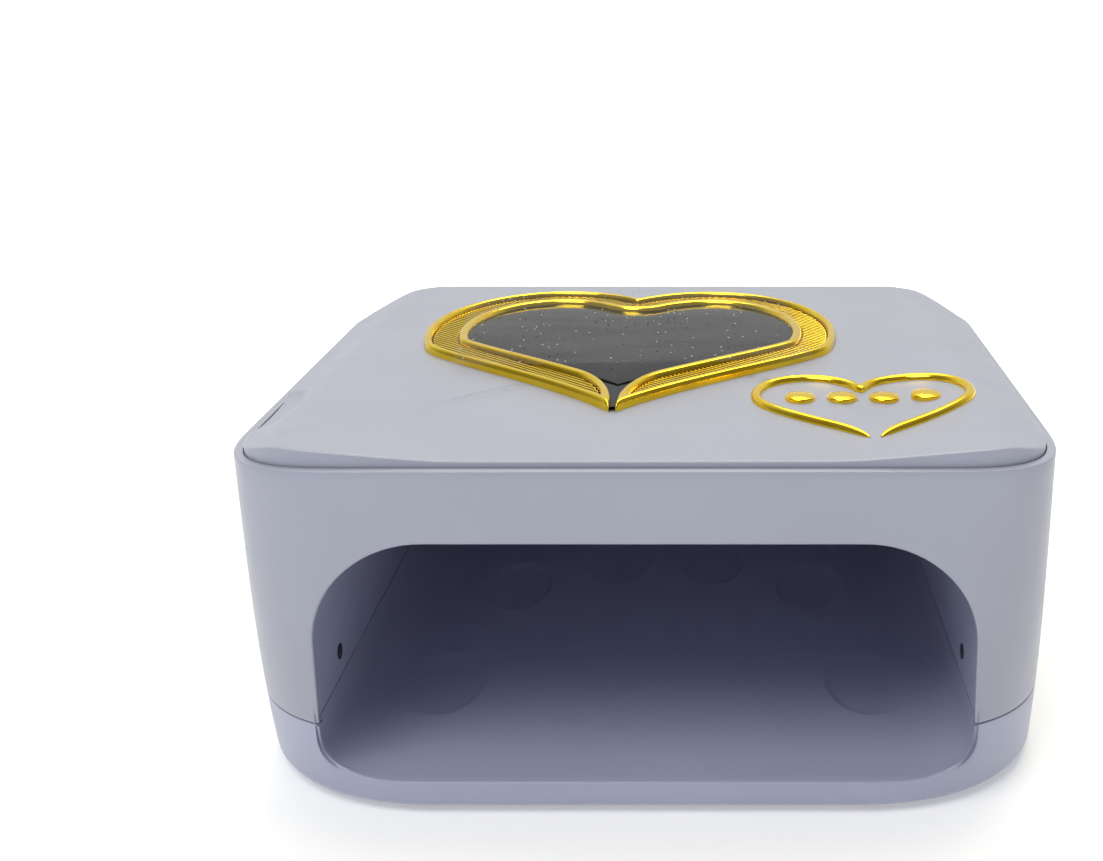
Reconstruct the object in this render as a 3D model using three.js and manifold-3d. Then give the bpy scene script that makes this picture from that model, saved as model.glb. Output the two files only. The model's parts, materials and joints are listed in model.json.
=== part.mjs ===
// Cordless UV LED nail lamp. Millimetres, +X right, +Y to the back, +Z up.
// The origin is under the middle of the lamp, on the surface that the feet stand on.
import * as THREE from 'three';
import { mergeVertices } from 'three/addons/utils/BufferGeometryUtils.js';
import Module from 'manifold-3d';

const wasm = await Module();
wasm.setup();

// ---------- driving dimensions ----------
const WIDTH = 230;            // across the rim of the housing
const DEPTH = 208;            // front wall to back wall at the rim
const FOOT = 2;               // the feet hold the tray this far off the table
const SEAM_Z = 27;            // the lamp lifts off the tray here
const RIM_Z = 105;            // top edge of the housing, where the lid stands
const WALL = 2.5;             // housing and tray walls
const GAP = 0.3;              // clearance between pieces that meet
const FLARE = { side: 5.6, front: 0.6, power: 1.45 };   // the walls stand out this much more at the foot
const FINENESS = 0.05;        // faces that differ by less than this are made one

const OPENING = { halfWidth: 92, footHalfWidth: 93, top: 84, corner: 32, lip: 10.8 };
const TUNNEL = { halfWidth: 94.2, back: 81, backCorner: 25, floor: 9.6, drop: 8 };
const TUB_CORNER = { across: 21, top: SEAM_Z - 3, power: 2.5 };
const LINER_WALL = 1.6;
const FLOOR_THICK = 3.4;

const SHOULDER = { side: 16, back: 8 };   // the lid rolls down to its edge over these widths
const LID_HEIGHT = { front: 5.1, back: 5.9, edge: 1.7 };   // above the rim
const DISH = 3.2;             // the lid's front middle lies this much lower than its shoulders
const LID_THICK = 2.4;

const front = -DEPTH / 2;

const HEART = {
  x: -10.8, tipY: front + 42, length: 134, turn: -0.8, band: 15, slot: 2,
  lobe: { x: 26.6, y: 82, halfWidth: 44.3, halfLength: 52, from: -22 },   // an ellipse, from that angle
  bend: [[19, 26], [64.8, 51.5]],                                       // control points of the side
};
const SMALL_HEART = { x: 64, tipY: front + 20, lobe: 16.6, lobeX: 15.6, lobeY: 37, rod: 3.3 };
const BUTTON = { pitch: 12.65, y: front + 55.5, radius: 4.5, proud: 1.8, travel: 0.8 };
const CELL = { radius: 9.2, length: 65 };

// ---------- finishes ----------
const finish = {
  shell: { color: 0xc4c6d2, roughness: 0.38, metalness: 0 },
  tunnel: { color: 0xaeb1c6, roughness: 0.42, metalness: 0 },
  gold: { color: 0xd9ad1e, roughness: 0.14, metalness: 1 },
  smoked: { color: 0x0b0b0d, roughness: 0.06, metalness: 0 },
  film: { color: 0xe8eaec, roughness: 0.12, metalness: 0 },
  board: { color: 0x1f5a35, roughness: 0.5, metalness: 0 },
  lens: { color: 0xe6e1f5, roughness: 0.1, metalness: 0 },
  sensor: { color: 0x17141c, roughness: 0.15, metalness: 0 },
  battery: { color: 0x2b6fb0, roughness: 0.35, metalness: 0 },
  black: { color: 0x202124, roughness: 0.6, metalness: 0 },
  steel: { color: 0x9ea1a6, roughness: 0.3, metalness: 1 },
  rubber: { color: 0x3a3b3e, roughness: 0.9, metalness: 0 },
};

// ---------- solids ----------
function toSolid(geometry) {
  const plain = geometry.clone();
  plain.deleteAttribute('normal');
  plain.deleteAttribute('uv');
  const merged = mergeVertices(plain, 1e-4);
  return new wasm.Manifold(new wasm.Mesh({
    numProp: 3,
    vertProperties: new Float32Array(merged.attributes.position.array),
    triVerts: new Uint32Array(merged.index.array),
  }));
}

function toGeometry(solid) {
  const mesh = solid.simplify(FINENESS).getMesh();
  const geometry = new THREE.BufferGeometry();
  geometry.setAttribute('position', new THREE.BufferAttribute(new Float32Array(mesh.vertProperties), 3));
  geometry.setIndex(new THREE.BufferAttribute(new Uint32Array(mesh.triVerts), 1));
  return geometry;
}

// A closed skin over rings of equal point counts, each ring an array of Vector3 going the same way round.
function loft(rings) {
  const count = rings[0].length;
  const points = rings.flat();
  const first = rings[0].reduce((sum, p) => sum.add(p), new THREE.Vector3()).divideScalar(count);
  const last = rings.at(-1).reduce((sum, p) => sum.add(p), new THREE.Vector3()).divideScalar(count);
  points.push(first, last);
  const faces = [];
  for (let r = 0; r + 1 < rings.length; r += 1) {
    for (let i = 0; i < count; i += 1) {
      const a = r * count + i;
      const b = r * count + (i + 1) % count;
      faces.push(a, b, b + count, a, b + count, a + count);
    }
  }
  const lastRing = (rings.length - 1) * count;
  for (let i = 0; i < count; i += 1) {
    const next = (i + 1) % count;
    faces.push(points.length - 2, next, i);
    faces.push(points.length - 1, lastRing + i, lastRing + next);
  }
  const geometry = new THREE.BufferGeometry().setFromPoints(points);
  geometry.setIndex(faces);
  const solid = toSolid(geometry);
  return solid.volume() < 0 ? flipped(geometry) : solid;
}

function flipped(geometry) {
  const index = Array.from(geometry.index.array);
  for (let i = 0; i < index.length; i += 3) {
    [index[i], index[i + 1]] = [index[i + 1], index[i]];
  }
  geometry.setIndex(index);
  return toSolid(geometry);
}

// An outline in X and Y raised from z = low to z = high.
function prism(shape, low, high, curveSegments = 8) {
  const geometry = new THREE.ExtrudeGeometry(shape, { depth: high - low, bevelEnabled: false, curveSegments });
  geometry.translate(0, 0, low);
  return toSolid(geometry);
}

// An outline in X and Z pushed back from y = near to y = far.
function wallPrism(shape, near, far, curveSegments = 8) {
  const geometry = new THREE.ExtrudeGeometry(shape, { depth: far - near, bevelEnabled: false, curveSegments });
  geometry.rotateX(Math.PI / 2);
  geometry.translate(0, far, 0);
  return toSolid(geometry);
}

function drum(radius, low, high, x = 0, y = 0, sides = 20) {
  const geometry = new THREE.CylinderGeometry(radius, radius, high - low, sides);
  geometry.rotateX(Math.PI / 2);
  geometry.translate(x, y, (low + high) / 2);
  return toSolid(geometry);
}

function block(sizeX, sizeY, sizeZ, x, y, z) {
  const geometry = new THREE.BoxGeometry(sizeX, sizeY, sizeZ);
  geometry.translate(x, y, z);
  return toSolid(geometry);
}

function join(first, ...others) {
  return others.reduce((whole, next) => whole.add(next), first);
}

function cut(first, ...others) {
  return others.reduce((whole, next) => whole.subtract(next), first);
}

const lamp = new THREE.Group();
function piece(name, solid, look) {
  const geometry = solid.isBufferGeometry ? solid : toGeometry(solid);
  const mesh = new THREE.Mesh(geometry, new THREE.MeshStandardMaterial(finish[look]));
  mesh.name = name;
  lamp.add(mesh);
  return mesh;
}

// ---------- plan outline of the body ----------
const CORNER_STEPS = 7;
const mix = (a, b, t) => a + (b - a) * t;

// A rounded rectangle whose corners are superellipse quarters; power 2 is a circular corner.
function roundedPlan(halfWidth, halfDepth, frontCorner, backCorner) {
  const points = [];
  const quarter = (signX, signY, corner, reverse) => {
    for (let i = 0; i <= CORNER_STEPS; i += 1) {
      const angle = (reverse ? CORNER_STEPS - i : i) / CORNER_STEPS * Math.PI / 2;
      const across = corner.size * Math.cos(angle) ** (2 / corner.power);
      const along = corner.size * Math.sin(angle) ** (2 / corner.power);
      points.push(new THREE.Vector2(
        signX * (halfWidth - corner.size + across),
        signY * (halfDepth - corner.size + along),
      ));
    }
  };
  quarter(1, -1, frontCorner, true);
  quarter(1, 1, backCorner, false);
  quarter(-1, 1, backCorner, true);
  quarter(-1, -1, frontCorner, false);
  return points;
}

// The body's corners at the rim and at the foot; the front ones open out towards the foot.
const FRONT_CORNER = { rim: 37, foot: 62, rimPower: 3.2, footPower: 2.2 };
const BACK_CORNER = { rim: 50, foot: 58, power: 2.1 };

// The body's outline at height z, drawn in by inset.
function bodyPlan(z, inset) {
  const down = Math.max(0, (RIM_Z - z) / RIM_Z);
  const flare = down ** FLARE.power;
  const frontSize = mix(FRONT_CORNER.rim, FRONT_CORNER.foot, down ** 2);
  const backSize = mix(BACK_CORNER.rim, BACK_CORNER.foot, down);
  return roundedPlan(
    WIDTH / 2 + FLARE.side * flare - inset,
    DEPTH / 2 + FLARE.front * flare - inset,
    { size: frontSize - inset, power: mix(FRONT_CORNER.rimPower, FRONT_CORNER.footPower, down) },
    { size: backSize - inset, power: BACK_CORNER.power },
  );
}

function bodyRing(z, inset, ringZ = z) {
  return bodyPlan(z, inset).map((p) => new THREE.Vector3(p.x, p.y, ringZ));
}

// ---------- main housing ----------
function openingShape() {
  const { halfWidth, footHalfWidth, top, corner } = OPENING;
  const shape = new THREE.Shape();
  shape.moveTo(-footHalfWidth, SEAM_Z - 10);
  shape.lineTo(footHalfWidth, SEAM_Z - 10);
  shape.lineTo(footHalfWidth, SEAM_Z);
  shape.lineTo(halfWidth, top - corner);
  shape.absarc(halfWidth - corner, top - corner, corner, 0, Math.PI / 2);
  shape.absarc(corner - halfWidth, top - corner, corner, Math.PI / 2, Math.PI);
  shape.lineTo(-footHalfWidth, SEAM_Z);
  return shape;
}

const LINER_RIM = 3;          // thickness of the liner's flat rim, which closes the lamp from below
const BOSS = {
  radius: 3.6, pilot: 1.6, x: 104, ys: [-64, 52], low: SEAM_Z + LINER_RIM + 2 * GAP, top: 62,
};
const SCREW_HEAD = 1.2;
const SCREW_HEAD_TOP = SEAM_Z + 0.5 + SCREW_HEAD;
const VENT = { count: 9, pitch: 8, width: 3, low: 72, high: 92 };
const JACK = { x: 62, z: 50, radius: 3.9 };

// A screw post with the web that ties it to the side wall, and the pilot hole in it.
function screwPost(side, y) {
  const web = block(10, 2.4, BOSS.top - BOSS.low, side * (BOSS.x + 6), y, (BOSS.top + BOSS.low) / 2);
  const insideWall = loft([BOSS.low, BOSS.top + 2].map((z) => bodyRing(z, WALL - 0.6)));
  const post = drum(BOSS.radius, BOSS.low, BOSS.top, side * BOSS.x, y, 12);
  const pilot = drum(BOSS.pilot, SEAM_Z, BOSS.low + 17, side * BOSS.x, y, 10);
  return { solid: post.add(web.intersect(insideWall)), pilot };
}

function mainHousing() {
  const heights = [50, 75, 94];
  const wallRings = [SEAM_Z + 0.2, ...heights, RIM_Z - 1.2].map((z) => bodyRing(z, 0));
  const rimRings = [bodyRing(RIM_Z, 0.4, RIM_Z - 0.4), bodyRing(RIM_Z, 1.1)];
  const outer = loft([...wallRings, ...rimRings]);
  const inner = loft([SEAM_Z - 3, ...heights, RIM_Z + 3].map((z) => bodyRing(z, WALL)));
  const ledgeTop = RIM_Z - 4.6;
  const ledgeBlank = loft([ledgeTop - 1.8, ledgeTop].map((z) => bodyRing(z, WALL - 0.6)));
  const ledge = ledgeBlank.subtract(loft([97, RIM_Z].map((z) => bodyRing(z, WALL + 2.4))));
  let shell = join(outer.subtract(inner), ledge);
  shell = shell.subtract(wallPrism(openingShape(), front - 20, front + 20));
  for (const side of [-1, 1]) {
    for (const y of BOSS.ys) {
      const { solid, pilot } = screwPost(side, y);
      shell = shell.add(solid).subtract(pilot);
    }
  }
  for (let i = 0; i < VENT.count; i += 1) {
    const x = (i - (VENT.count - 1) / 2) * VENT.pitch;
    const slot = block(VENT.width, 12, VENT.high - VENT.low, x, -front, (VENT.low + VENT.high) / 2);
    shell = shell.subtract(slot);
  }
  const hole = new THREE.CylinderGeometry(JACK.radius + GAP, JACK.radius + GAP, 12, 20);
  hole.translate(JACK.x, -front, JACK.z);
  return shell.subtract(toSolid(hole));
}

// ---------- lid ----------
const smooth = (t) => {
  const s = THREE.MathUtils.clamp(t, 0, 1);
  return s * s * (3 - 2 * s);
};

// Height of the lid's upper face above the rim at a point in plan; edge is the distance to its side.
function lidHeight(x, y) {
  const crown = mix(LID_HEIGHT.front, LID_HEIGHT.back, (y - front) / DEPTH);
  const riseFrom = 48 + 24 * smooth((y - front) / 45);
  const dishAcross = 1 - smooth((Math.abs(x) - riseFrom) / (100 - riseFrom));
  const dishAlong = 1 - smooth((y - front - 4) / 165);
  const sideDistance = WIDTH / 2 - Math.abs(x);
  const backDistance = -front - y;
  const rollSide = 1 - smooth((sideDistance - 2) / SHOULDER.side);
  const rollBack = 1 - smooth((backDistance - 2) / SHOULDER.back);
  const roll = 1 - (1 - rollSide) * (1 - rollBack);
  return crown - DISH * dishAcross * dishAlong - (crown - LID_HEIGHT.edge) * roll;
}

const LID_INSET = WALL + GAP;
const LID_RINGS = [1, 0.965, 0.93, 0.88, 0.8, 0.68, 0.5, 0.25];
const LID_UNDER_RINGS = [1, 0.9, 0.7, 0.35];

function lidSkin(inset, drop, floorZ, shares) {
  const plan = bodyPlan(RIM_Z, inset);
  const rings = [plan.map((p) => new THREE.Vector3(p.x, p.y, floorZ))];
  for (const share of shares) {
    rings.push(plan.map((p) => {
      const x = p.x * share;
      const y = p.y * share;
      return new THREE.Vector3(x, y, RIM_Z + lidHeight(x, y) - drop);
    }));
  }
  return loft(rings);
}

// The heart's plane is tilted with the lid's slope.
const lidAtTip = RIM_Z + lidHeight(HEART.x, HEART.tipY);
const lidAtLobes = RIM_Z + lidHeight(HEART.x, HEART.tipY + HEART.length);
const HEART_TILT = Math.atan2(lidAtLobes - lidAtTip, HEART.length);

function ontoHeartPlane(solid) {
  const degrees = THREE.MathUtils.radToDeg(HEART_TILT);
  return solid.rotate([degrees, 0, HEART.turn]).translate([HEART.x, HEART.tipY, lidAtTip]);
}

// The heart's right side from the tip to the notch: a bent side, then an ellipse. Each entry is a
// point and the direction that faces out of the heart there.
function heartSide() {
  const { lobe, bend } = HEART;
  const from = THREE.MathUtils.degToRad(lobe.from);
  const notch = Math.acos(-lobe.x / lobe.halfWidth);
  const onLobe = (angle) => new THREE.Vector2(
    lobe.x + lobe.halfWidth * Math.cos(angle),
    lobe.y + lobe.halfLength * Math.sin(angle),
  );
  const controls = bend.map(([x, y]) => new THREE.Vector2(x, y));
  const side = new THREE.CubicBezierCurve(new THREE.Vector2(), ...controls, onLobe(from));
  const places = [];
  const sideSteps = 9;
  for (let i = 0; i < sideSteps; i += 1) {
    const along = side.getTangent(i / sideSteps);
    places.push({ point: side.getPoint(i / sideSteps), out: new THREE.Vector2(along.y, -along.x) });
  }
  const lobeSteps = 17;
  for (let i = 0; i <= lobeSteps; i += 1) {
    const angle = mix(from, notch, i / lobeSteps);
    const out = new THREE.Vector2(Math.cos(angle) / lobe.halfWidth, Math.sin(angle) / lobe.halfLength);
    places.push({ point: onLobe(angle), out: out.normalize() });
  }
  return places;
}

// Outline of the big heart, tip at the origin, drawn in by inset.
function heartShape(inset) {
  const places = heartSide();
  const moved = places.map(({ point, out }) => point.clone().addScaledVector(out, -inset));
  const clear = (p) => places.every((place) => place.point.distanceTo(p) > Math.abs(inset) - 0.15);
  const right = moved.filter((p) => p.x > 0.3 && clear(p));
  const tipLean = Math.hypot(places[0].out.x, places[0].out.y) / -places[0].out.y;
  const meeting = inset > 0 ? crossingAxis(moved) : inset * tipLean;
  const notchY = places.at(-1).point.y - inset;
  const left = right.map((p) => new THREE.Vector2(-p.x, p.y)).reverse();
  return new THREE.Shape([
    new THREE.Vector2(0, meeting), ...right, new THREE.Vector2(0, notchY), ...left,
  ]);
}

// Where a half outline that starts left of the axis first crosses it.
function crossingAxis(points) {
  const i = points.findIndex((p) => p.x > 0);
  const before = points[i - 1];
  const after = points[i];
  return mix(before.y, after.y, -before.x / (after.x - before.x));
}

function heartPrism(inset, low, high) {
  return prism(heartShape(inset), low, high);
}

function topCover() {
  const outer = lidSkin(LID_INSET, 0, RIM_Z - 4.3, LID_RINGS);
  const inner = lidSkin(LID_INSET + LID_THICK, LID_THICK, RIM_Z - 8, LID_UNDER_RINGS);
  let cover = join(outer.subtract(inner), outer.intersect(shoulderScoop(SCOOP.wall)));
  cover = cut(
    cover,
    ontoHeartPlane(heartPrism(-GAP, -1.2, 12)),
    ontoHeartPlane(heartPrism(19, -12, 2)),
    frameGroove(),
    shoulderScoop(),
  );
  for (let i = 0; i < 4; i += 1) {
    cover = cover.subtract(drum(BUTTON.radius + GAP, RIM_Z - 10, RIM_Z + 20, buttonX(i), BUTTON.y, 24));
  }
  return cover;
}

// A long oval thumb scoop in the left shoulder; grown, it is the thicker wall left under it.
const SCOOP = { x: -110.5, y: front + 47, long: 20, wide: 8.5, deep: 5, lift: 1.6, wall: 1.8 };
function shoulderScoop(grow = 0) {
  const ball = new THREE.SphereGeometry(1, 16, 10);
  ball.scale(SCOOP.wide + grow, SCOOP.long + grow, SCOOP.deep + grow);
  ball.translate(SCOOP.x, SCOOP.y, RIM_Z + lidHeight(SCOOP.x, SCOOP.y) + SCOOP.lift);
  return toSolid(ball);
}

// ---------- display ----------
const BEZEL_TALL = 3.4;
const BEZEL_SUNK = 0.9;

function slotBlock(width, low, high) {
  return block(width, 36, high - low, 0, 12, (low + high) / 2);
}

function heartBezel() {
  const ring = heartPrism(0, -BEZEL_SUNK, BEZEL_TALL).subtract(heartPrism(HEART.band, -3, 8));
  const channel = heartPrism(3, 1.7, 8).subtract(heartPrism(HEART.band - 2.4, 0, 9));
  const tipGuard = block(16, 16, 12, 0, 2, 3);
  return ontoHeartPlane(cut(ring, channel.subtract(tipGuard), slotBlock(HEART.slot, -3, 8)));
}

function heartWindow() {
  const plate = heartPrism(HEART.band + GAP, -BEZEL_SUNK, 2.2);
  const tail = block(HEART.slot - 2 * GAP, 27, 2.2 + BEZEL_SUNK, 0, 17.5, (2.2 - BEZEL_SUNK) / 2);
  return ontoHeartPlane(plate.add(tail));
}

const FILM = { width: 116, length: 94, thick: 0.3, x: 0, y: 86, turn: 5 };
function protectiveFilm() {
  const sheet = block(FILM.width, FILM.length, FILM.thick, 0, 0, BEZEL_TALL + GAP + FILM.thick / 2);
  return ontoHeartPlane(sheet.rotate([0, 0, FILM.turn]).translate([FILM.x, FILM.y, 0]));
}

function displayBoard() {
  const board = block(64, 40, 1.6, HEART.x, 12, 101.2);
  const digits = block(34, 16, 3.6, HEART.x, 12, 103.6);
  return board.add(digits);
}

// ---------- buttons and their frame ----------
const buttonX = (i) => SMALL_HEART.x + (i - 1.5) * BUTTON.pitch;
const BUTTON_BOARD_Z = 99;

function pushButton(i) {
  const top = RIM_Z + lidHeight(buttonX(i), BUTTON.y) + BUTTON.proud;
  const under = RIM_Z + lidHeight(buttonX(i), BUTTON.y) - LID_THICK;
  const flangeTop = under - 0.9;
  const { radius } = BUTTON;
  const profile = [
    [0, BUTTON_BOARD_Z + 4.4],
    [1.4, BUTTON_BOARD_Z + 4.4],
    [1.4, flangeTop - 1],
    [radius + 1, flangeTop - 1],
    [radius + 1, flangeTop],
    [radius, flangeTop],
    [radius, top - 1.1],
    [radius - 0.35, top - 0.45],
    [radius - 1.1, top - 0.1],
    [0, top],
  ].map(([r, z]) => new THREE.Vector2(r, z));
  const turned = new THREE.LatheGeometry(profile, 18);
  turned.rotateX(Math.PI / 2);
  turned.translate(buttonX(i), BUTTON.y, 0);
  const solid = toSolid(turned);
  return solid.volume() < 0 ? flipped(mergeVertices(positionsOnly(turned), 1e-4)) : solid;
}

function positionsOnly(geometry) {
  geometry.deleteAttribute('normal');
  geometry.deleteAttribute('uv');
  return geometry;
}

function buttonBoard() {
  let board = block(52, 15, 1.6, SMALL_HEART.x, BUTTON.y, BUTTON_BOARD_Z - 0.8);
  for (let i = 0; i < 4; i += 1) {
    board = join(
      board,
      block(6, 6, 2.4, buttonX(i), BUTTON.y, BUTTON_BOARD_Z + 1),
      drum(1.6, BUTTON_BOARD_Z + 2, BUTTON_BOARD_Z + 3.3, buttonX(i), BUTTON.y, 12),
    );
  }
  return board;
}

// Centre line of the small heart, an open path from one side of the tip round to the other.
function smallHeartPath(lift) {
  const { lobe, lobeX, lobeY } = SMALL_HEART;
  const points = [];
  const foot = THREE.MathUtils.degToRad(-35);
  const reach = Math.acos(lobeX / lobe);
  const tip = new THREE.Vector2(1.7, 1.5);
  const hip = new THREE.Vector2(lobeX + lobe * Math.cos(foot), lobeY + lobe * Math.sin(foot));
  const towardsHip = new THREE.Vector2(hip.x - 8, hip.y - 11);
  const arm = new THREE.CubicBezierCurve(tip, new THREE.Vector2(6, 9), towardsHip, hip);
  points.push(...arm.getPoints(7));
  for (let i = 1; i <= 13; i += 1) {
    const angle = mix(foot, Math.PI - reach, i / 13);
    points.push(new THREE.Vector2(lobeX + lobe * Math.cos(angle), lobeY + lobe * Math.sin(angle)));
  }
  const right = points.map((p) => place(p.x, p.y));
  const left = points.slice(0, -1).reverse().map((p) => place(-p.x, p.y));
  function place(x, y) {
    const px = SMALL_HEART.x + x;
    const py = SMALL_HEART.tipY + y;
    return new THREE.Vector3(px, py, RIM_Z + lidHeight(px, py) + lift);
  }
  return [...right, ...left];
}

// A bar of half-round section swept along the heart, sunk a little into the lid.
function sweptHeart(halfWidth, low, high) {
  const path = smallHeartPath(0);
  const halfSection = [[1, low], [1, 0.15 * high], [0.72, 0.68 * high]];
  const section = [...halfSection.map(([x, z]) => [-x, z]), [0, high], ...halfSection.reverse()];
  const rings = path.map((point, i) => {
    const before = path[Math.max(0, i - 1)];
    const after = path[Math.min(path.length - 1, i + 1)];
    const along = after.clone().sub(before).setZ(0).normalize();
    const across = new THREE.Vector3(along.y, -along.x, 0);
    const end = Math.min(i, path.length - 1 - i);
    const taper = end === 0 ? 0.35 : 1;
    return section.map(([s, z]) => point.clone().addScaledVector(across, s * halfWidth * taper)
      .add(new THREE.Vector3(0, 0, z)));
  });
  return loft(rings);
}

function frameGroove() {
  return sweptHeart(SMALL_HEART.rod / 2 + GAP, -1.2, 6);
}

// ---------- tunnel liner and LED boards ----------
function archRing(y, grow, halfWidth, bottom) {
  const ceiling = OPENING.top + 1 - TUNNEL.drop * (y - front) / (TUNNEL.back - front) + grow;
  const corner = OPENING.corner + grow;
  const half = halfWidth + grow;
  const shape = new THREE.Shape();
  shape.moveTo(-half, bottom);
  shape.lineTo(half, bottom);
  shape.lineTo(half, ceiling - corner);
  shape.absarc(half - corner, ceiling - corner, corner, 0, Math.PI / 2);
  shape.absarc(corner - half, ceiling - corner, corner, Math.PI / 2, Math.PI);
  return shape.getPoints(6).slice(0, -1).map((p) => new THREE.Vector3(p.x, y, p.y));
}

function tunnelSpace(grow, nearY, bottom) {
  const rings = [archRing(nearY, grow, TUNNEL.halfWidth, bottom)];
  for (let i = 0; i <= 4; i += 1) {
    const angle = i / 4 * Math.PI / 2;
    const y = TUNNEL.back - TUNNEL.backCorner + TUNNEL.backCorner * Math.sin(angle) + grow;
    const half = TUNNEL.halfWidth - TUNNEL.backCorner * (1 - Math.cos(angle)) * 0.9;
    rings.push(archRing(y, grow, half, bottom));
  }
  return loft(rings);
}

const LED_XS = [-45, -15, 15, 45];
const LED_YS = [-56, -8, 40];
const SIDE_LED_YS = [2, 25, 48];
const SIDE_LED_Z = 52;
const REAR_LED_XS = [-36, 0, 36];
const CEILING_TILT = Math.atan2(-TUNNEL.drop, TUNNEL.back - front);
const ceilingAt = (y) => OPENING.top + 1 - TUNNEL.drop * (y - front) / (TUNNEL.back - front);

function capsule(radius, length) {
  return toSolid(new THREE.SphereGeometry(radius, 8, 4)).add(
    toSolid(new THREE.CylinderGeometry(radius, radius, length, 8).rotateX(Math.PI / 2).translate(0, 0, length / 2)),
  );
}

// LED lenses look down out of the ceiling; the board lies on the liner above them.
function ceilingLedBoard() {
  const rise = LINER_WALL + GAP;
  let board = block(116, 122, 1.6, 0, -8, rise + 0.8);
  for (const x of LED_XS) {
    for (const y of LED_YS) {
      board = board.add(capsule(2.4, rise + 0.4).translate([x, y, 0]));
    }
  }
  const degrees = THREE.MathUtils.radToDeg(CEILING_TILT);
  return board.rotate([degrees, 0, 0]).translate([0, 0, ceilingAt(0) + 0.1]);
}

function ceilingLedHoles() {
  const holes = LED_XS.flatMap((x) => LED_YS.map((y) => drum(2.8, -4, 4, x, y, 8)));
  const degrees = THREE.MathUtils.radToDeg(CEILING_TILT);
  return join(...holes).rotate([degrees, 0, 0]).translate([0, 0, ceilingAt(0)]);
}

// One side board, seen along -X from its back: lenses point in through the side wall.
function sideLedParts(side, radius, boardWanted) {
  const rise = LINER_WALL + GAP;
  const lenses = SIDE_LED_YS.map((y) => capsule(radius, rise + 1).rotate([0, 90 * side, 0])
    .translate([side * TUNNEL.halfWidth, y, SIDE_LED_Z]));
  if (!boardWanted) return join(...lenses);
  return join(block(1.6, 60, 12, side * (TUNNEL.halfWidth + rise + 0.8), 25, SIDE_LED_Z), ...lenses);
}

function rearLedParts(radius, boardWanted) {
  const rise = LINER_WALL + GAP;
  const lenses = REAR_LED_XS.map((x) => capsule(radius, rise + 1).rotate([-90, 0, 0])
    .translate([x, TUNNEL.back, SIDE_LED_Z]));
  if (!boardWanted) return join(...lenses);
  return join(block(92, 1.6, 12, 0, TUNNEL.back + rise + 0.8, SIDE_LED_Z), ...lenses);
}

const SENSOR = { y: front + 33, z: 35, radius: 2.5 };
function sensor(side, radius, nearX, farX) {
  const body = new THREE.CylinderGeometry(radius, radius, farX - nearX, 16);
  body.rotateZ(Math.PI / 2);
  body.translate(side * (nearX + farX) / 2, SENSOR.y, SENSOR.z);
  return toSolid(body);
}

function tunnelLiner() {
  const bottom = SEAM_Z + GAP;
  const shellFront = front + WALL + GAP + 0.6;
  const outer = tunnelSpace(LINER_WALL, shellFront, bottom);
  const inner = tunnelSpace(0, shellFront - 5, bottom - 5);
  const plate = loft([bottom, bottom + LINER_RIM].map((z) => bodyRing(SEAM_Z, WALL, z)));
  const room = loft([SEAM_Z - 5, 50, 75, 94].map((z) => bodyRing(z, WALL + GAP)));
  let liner = join(outer, plate).intersect(room).subtract(inner);
  liner = liner.subtract(block(2 * TUNNEL.halfWidth, 60, 20, 0, front, bottom));
  liner = cut(
    liner,
    ceilingLedHoles(),
    sideLedParts(-1, 2.8, false),
    sideLedParts(1, 2.8, false),
    rearLedParts(2.8, false),
    sensor(-1, SENSOR.radius + GAP, TUNNEL.halfWidth - 3, TUNNEL.halfWidth + 6),
    sensor(1, SENSOR.radius + GAP, TUNNEL.halfWidth - 3, TUNNEL.halfWidth + 6),
  );
  for (const side of [-1, 1]) {
    for (const y of BOSS.ys) {
      liner = liner.subtract(drum(1.7, 20, 40, side * BOSS.x, y, 10));
      liner = liner.subtract(drum(3.1, 20, SCREW_HEAD_TOP + GAP, side * BOSS.x, y, 14));
    }
  }
  return liner;
}

// ---------- electronics and battery ----------
function controlBoard() {
  const z = 89;
  return join(
    block(84, 44, 1.6, -30, -62, z),
    block(14, 14, 2.6, -42, -62, z + 2),
    block(12, 10, 6, -8, -54, z + 3.6),
    drum(5, z, z + 7, -58, -66, 14),
    drum(3.2, z, z + 7, -20, -74, 12),
  );
}

const BATTERY_Y = [52, 72];
const BATTERY_Z = 95;
function batteryHolder() {
  const floor = block(138, 42, 6, 0, 62, BATTERY_Z - CELL.radius - 1 + 2);
  const ends = [-1, 1].map((side) => block(2, 42, 14, side * 68, 62, BATTERY_Z - CELL.radius + 6));
  const troughs = BATTERY_Y.map((y) => lyingCell(CELL.radius + GAP, 133.4, 0, y));
  return cut(join(floor, ...ends), ...troughs);
}

function lyingCell(radius, length, x, y) {
  const cell = new THREE.CylinderGeometry(radius, radius, length, 24);
  cell.rotateZ(Math.PI / 2);
  cell.translate(x, y, BATTERY_Z);
  return toSolid(cell);
}

function chargingJack() {
  const barrel = new THREE.CylinderGeometry(JACK.radius, JACK.radius, 11, 20);
  barrel.translate(JACK.x, -front - 6.4, JACK.z);
  const bore = new THREE.CylinderGeometry(2.8, 2.8, 9, 16);
  bore.translate(JACK.x, -front - 2.4, JACK.z);
  const pin = new THREE.CylinderGeometry(1, 1, 8, 10);
  pin.translate(JACK.x, -front - 6, JACK.z);
  const flange = new THREE.CylinderGeometry(6, 6, 2, 20);
  flange.translate(JACK.x, -front - WALL - 2, JACK.z);
  return join(toSolid(barrel), toSolid(flange)).subtract(toSolid(bore)).add(toSolid(pin));
}

function lead(points, radius) {
  const path = new THREE.CatmullRomCurve3(points.map((p) => new THREE.Vector3(...p)));
  const section = new THREE.Shape();
  section.absarc(0, 0, radius, 0, 2 * Math.PI);
  return toSolid(new THREE.ExtrudeGeometry(section, { steps: 12, extrudePath: path, curveSegments: 2 }));
}

// ---------- tray ----------
const DIMPLE = {
  wide: 12, long: 20, deep: 2,
  spots: [[68, front + 60], [54.5, front + 135], [18.5, front + 157]],
};

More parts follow.
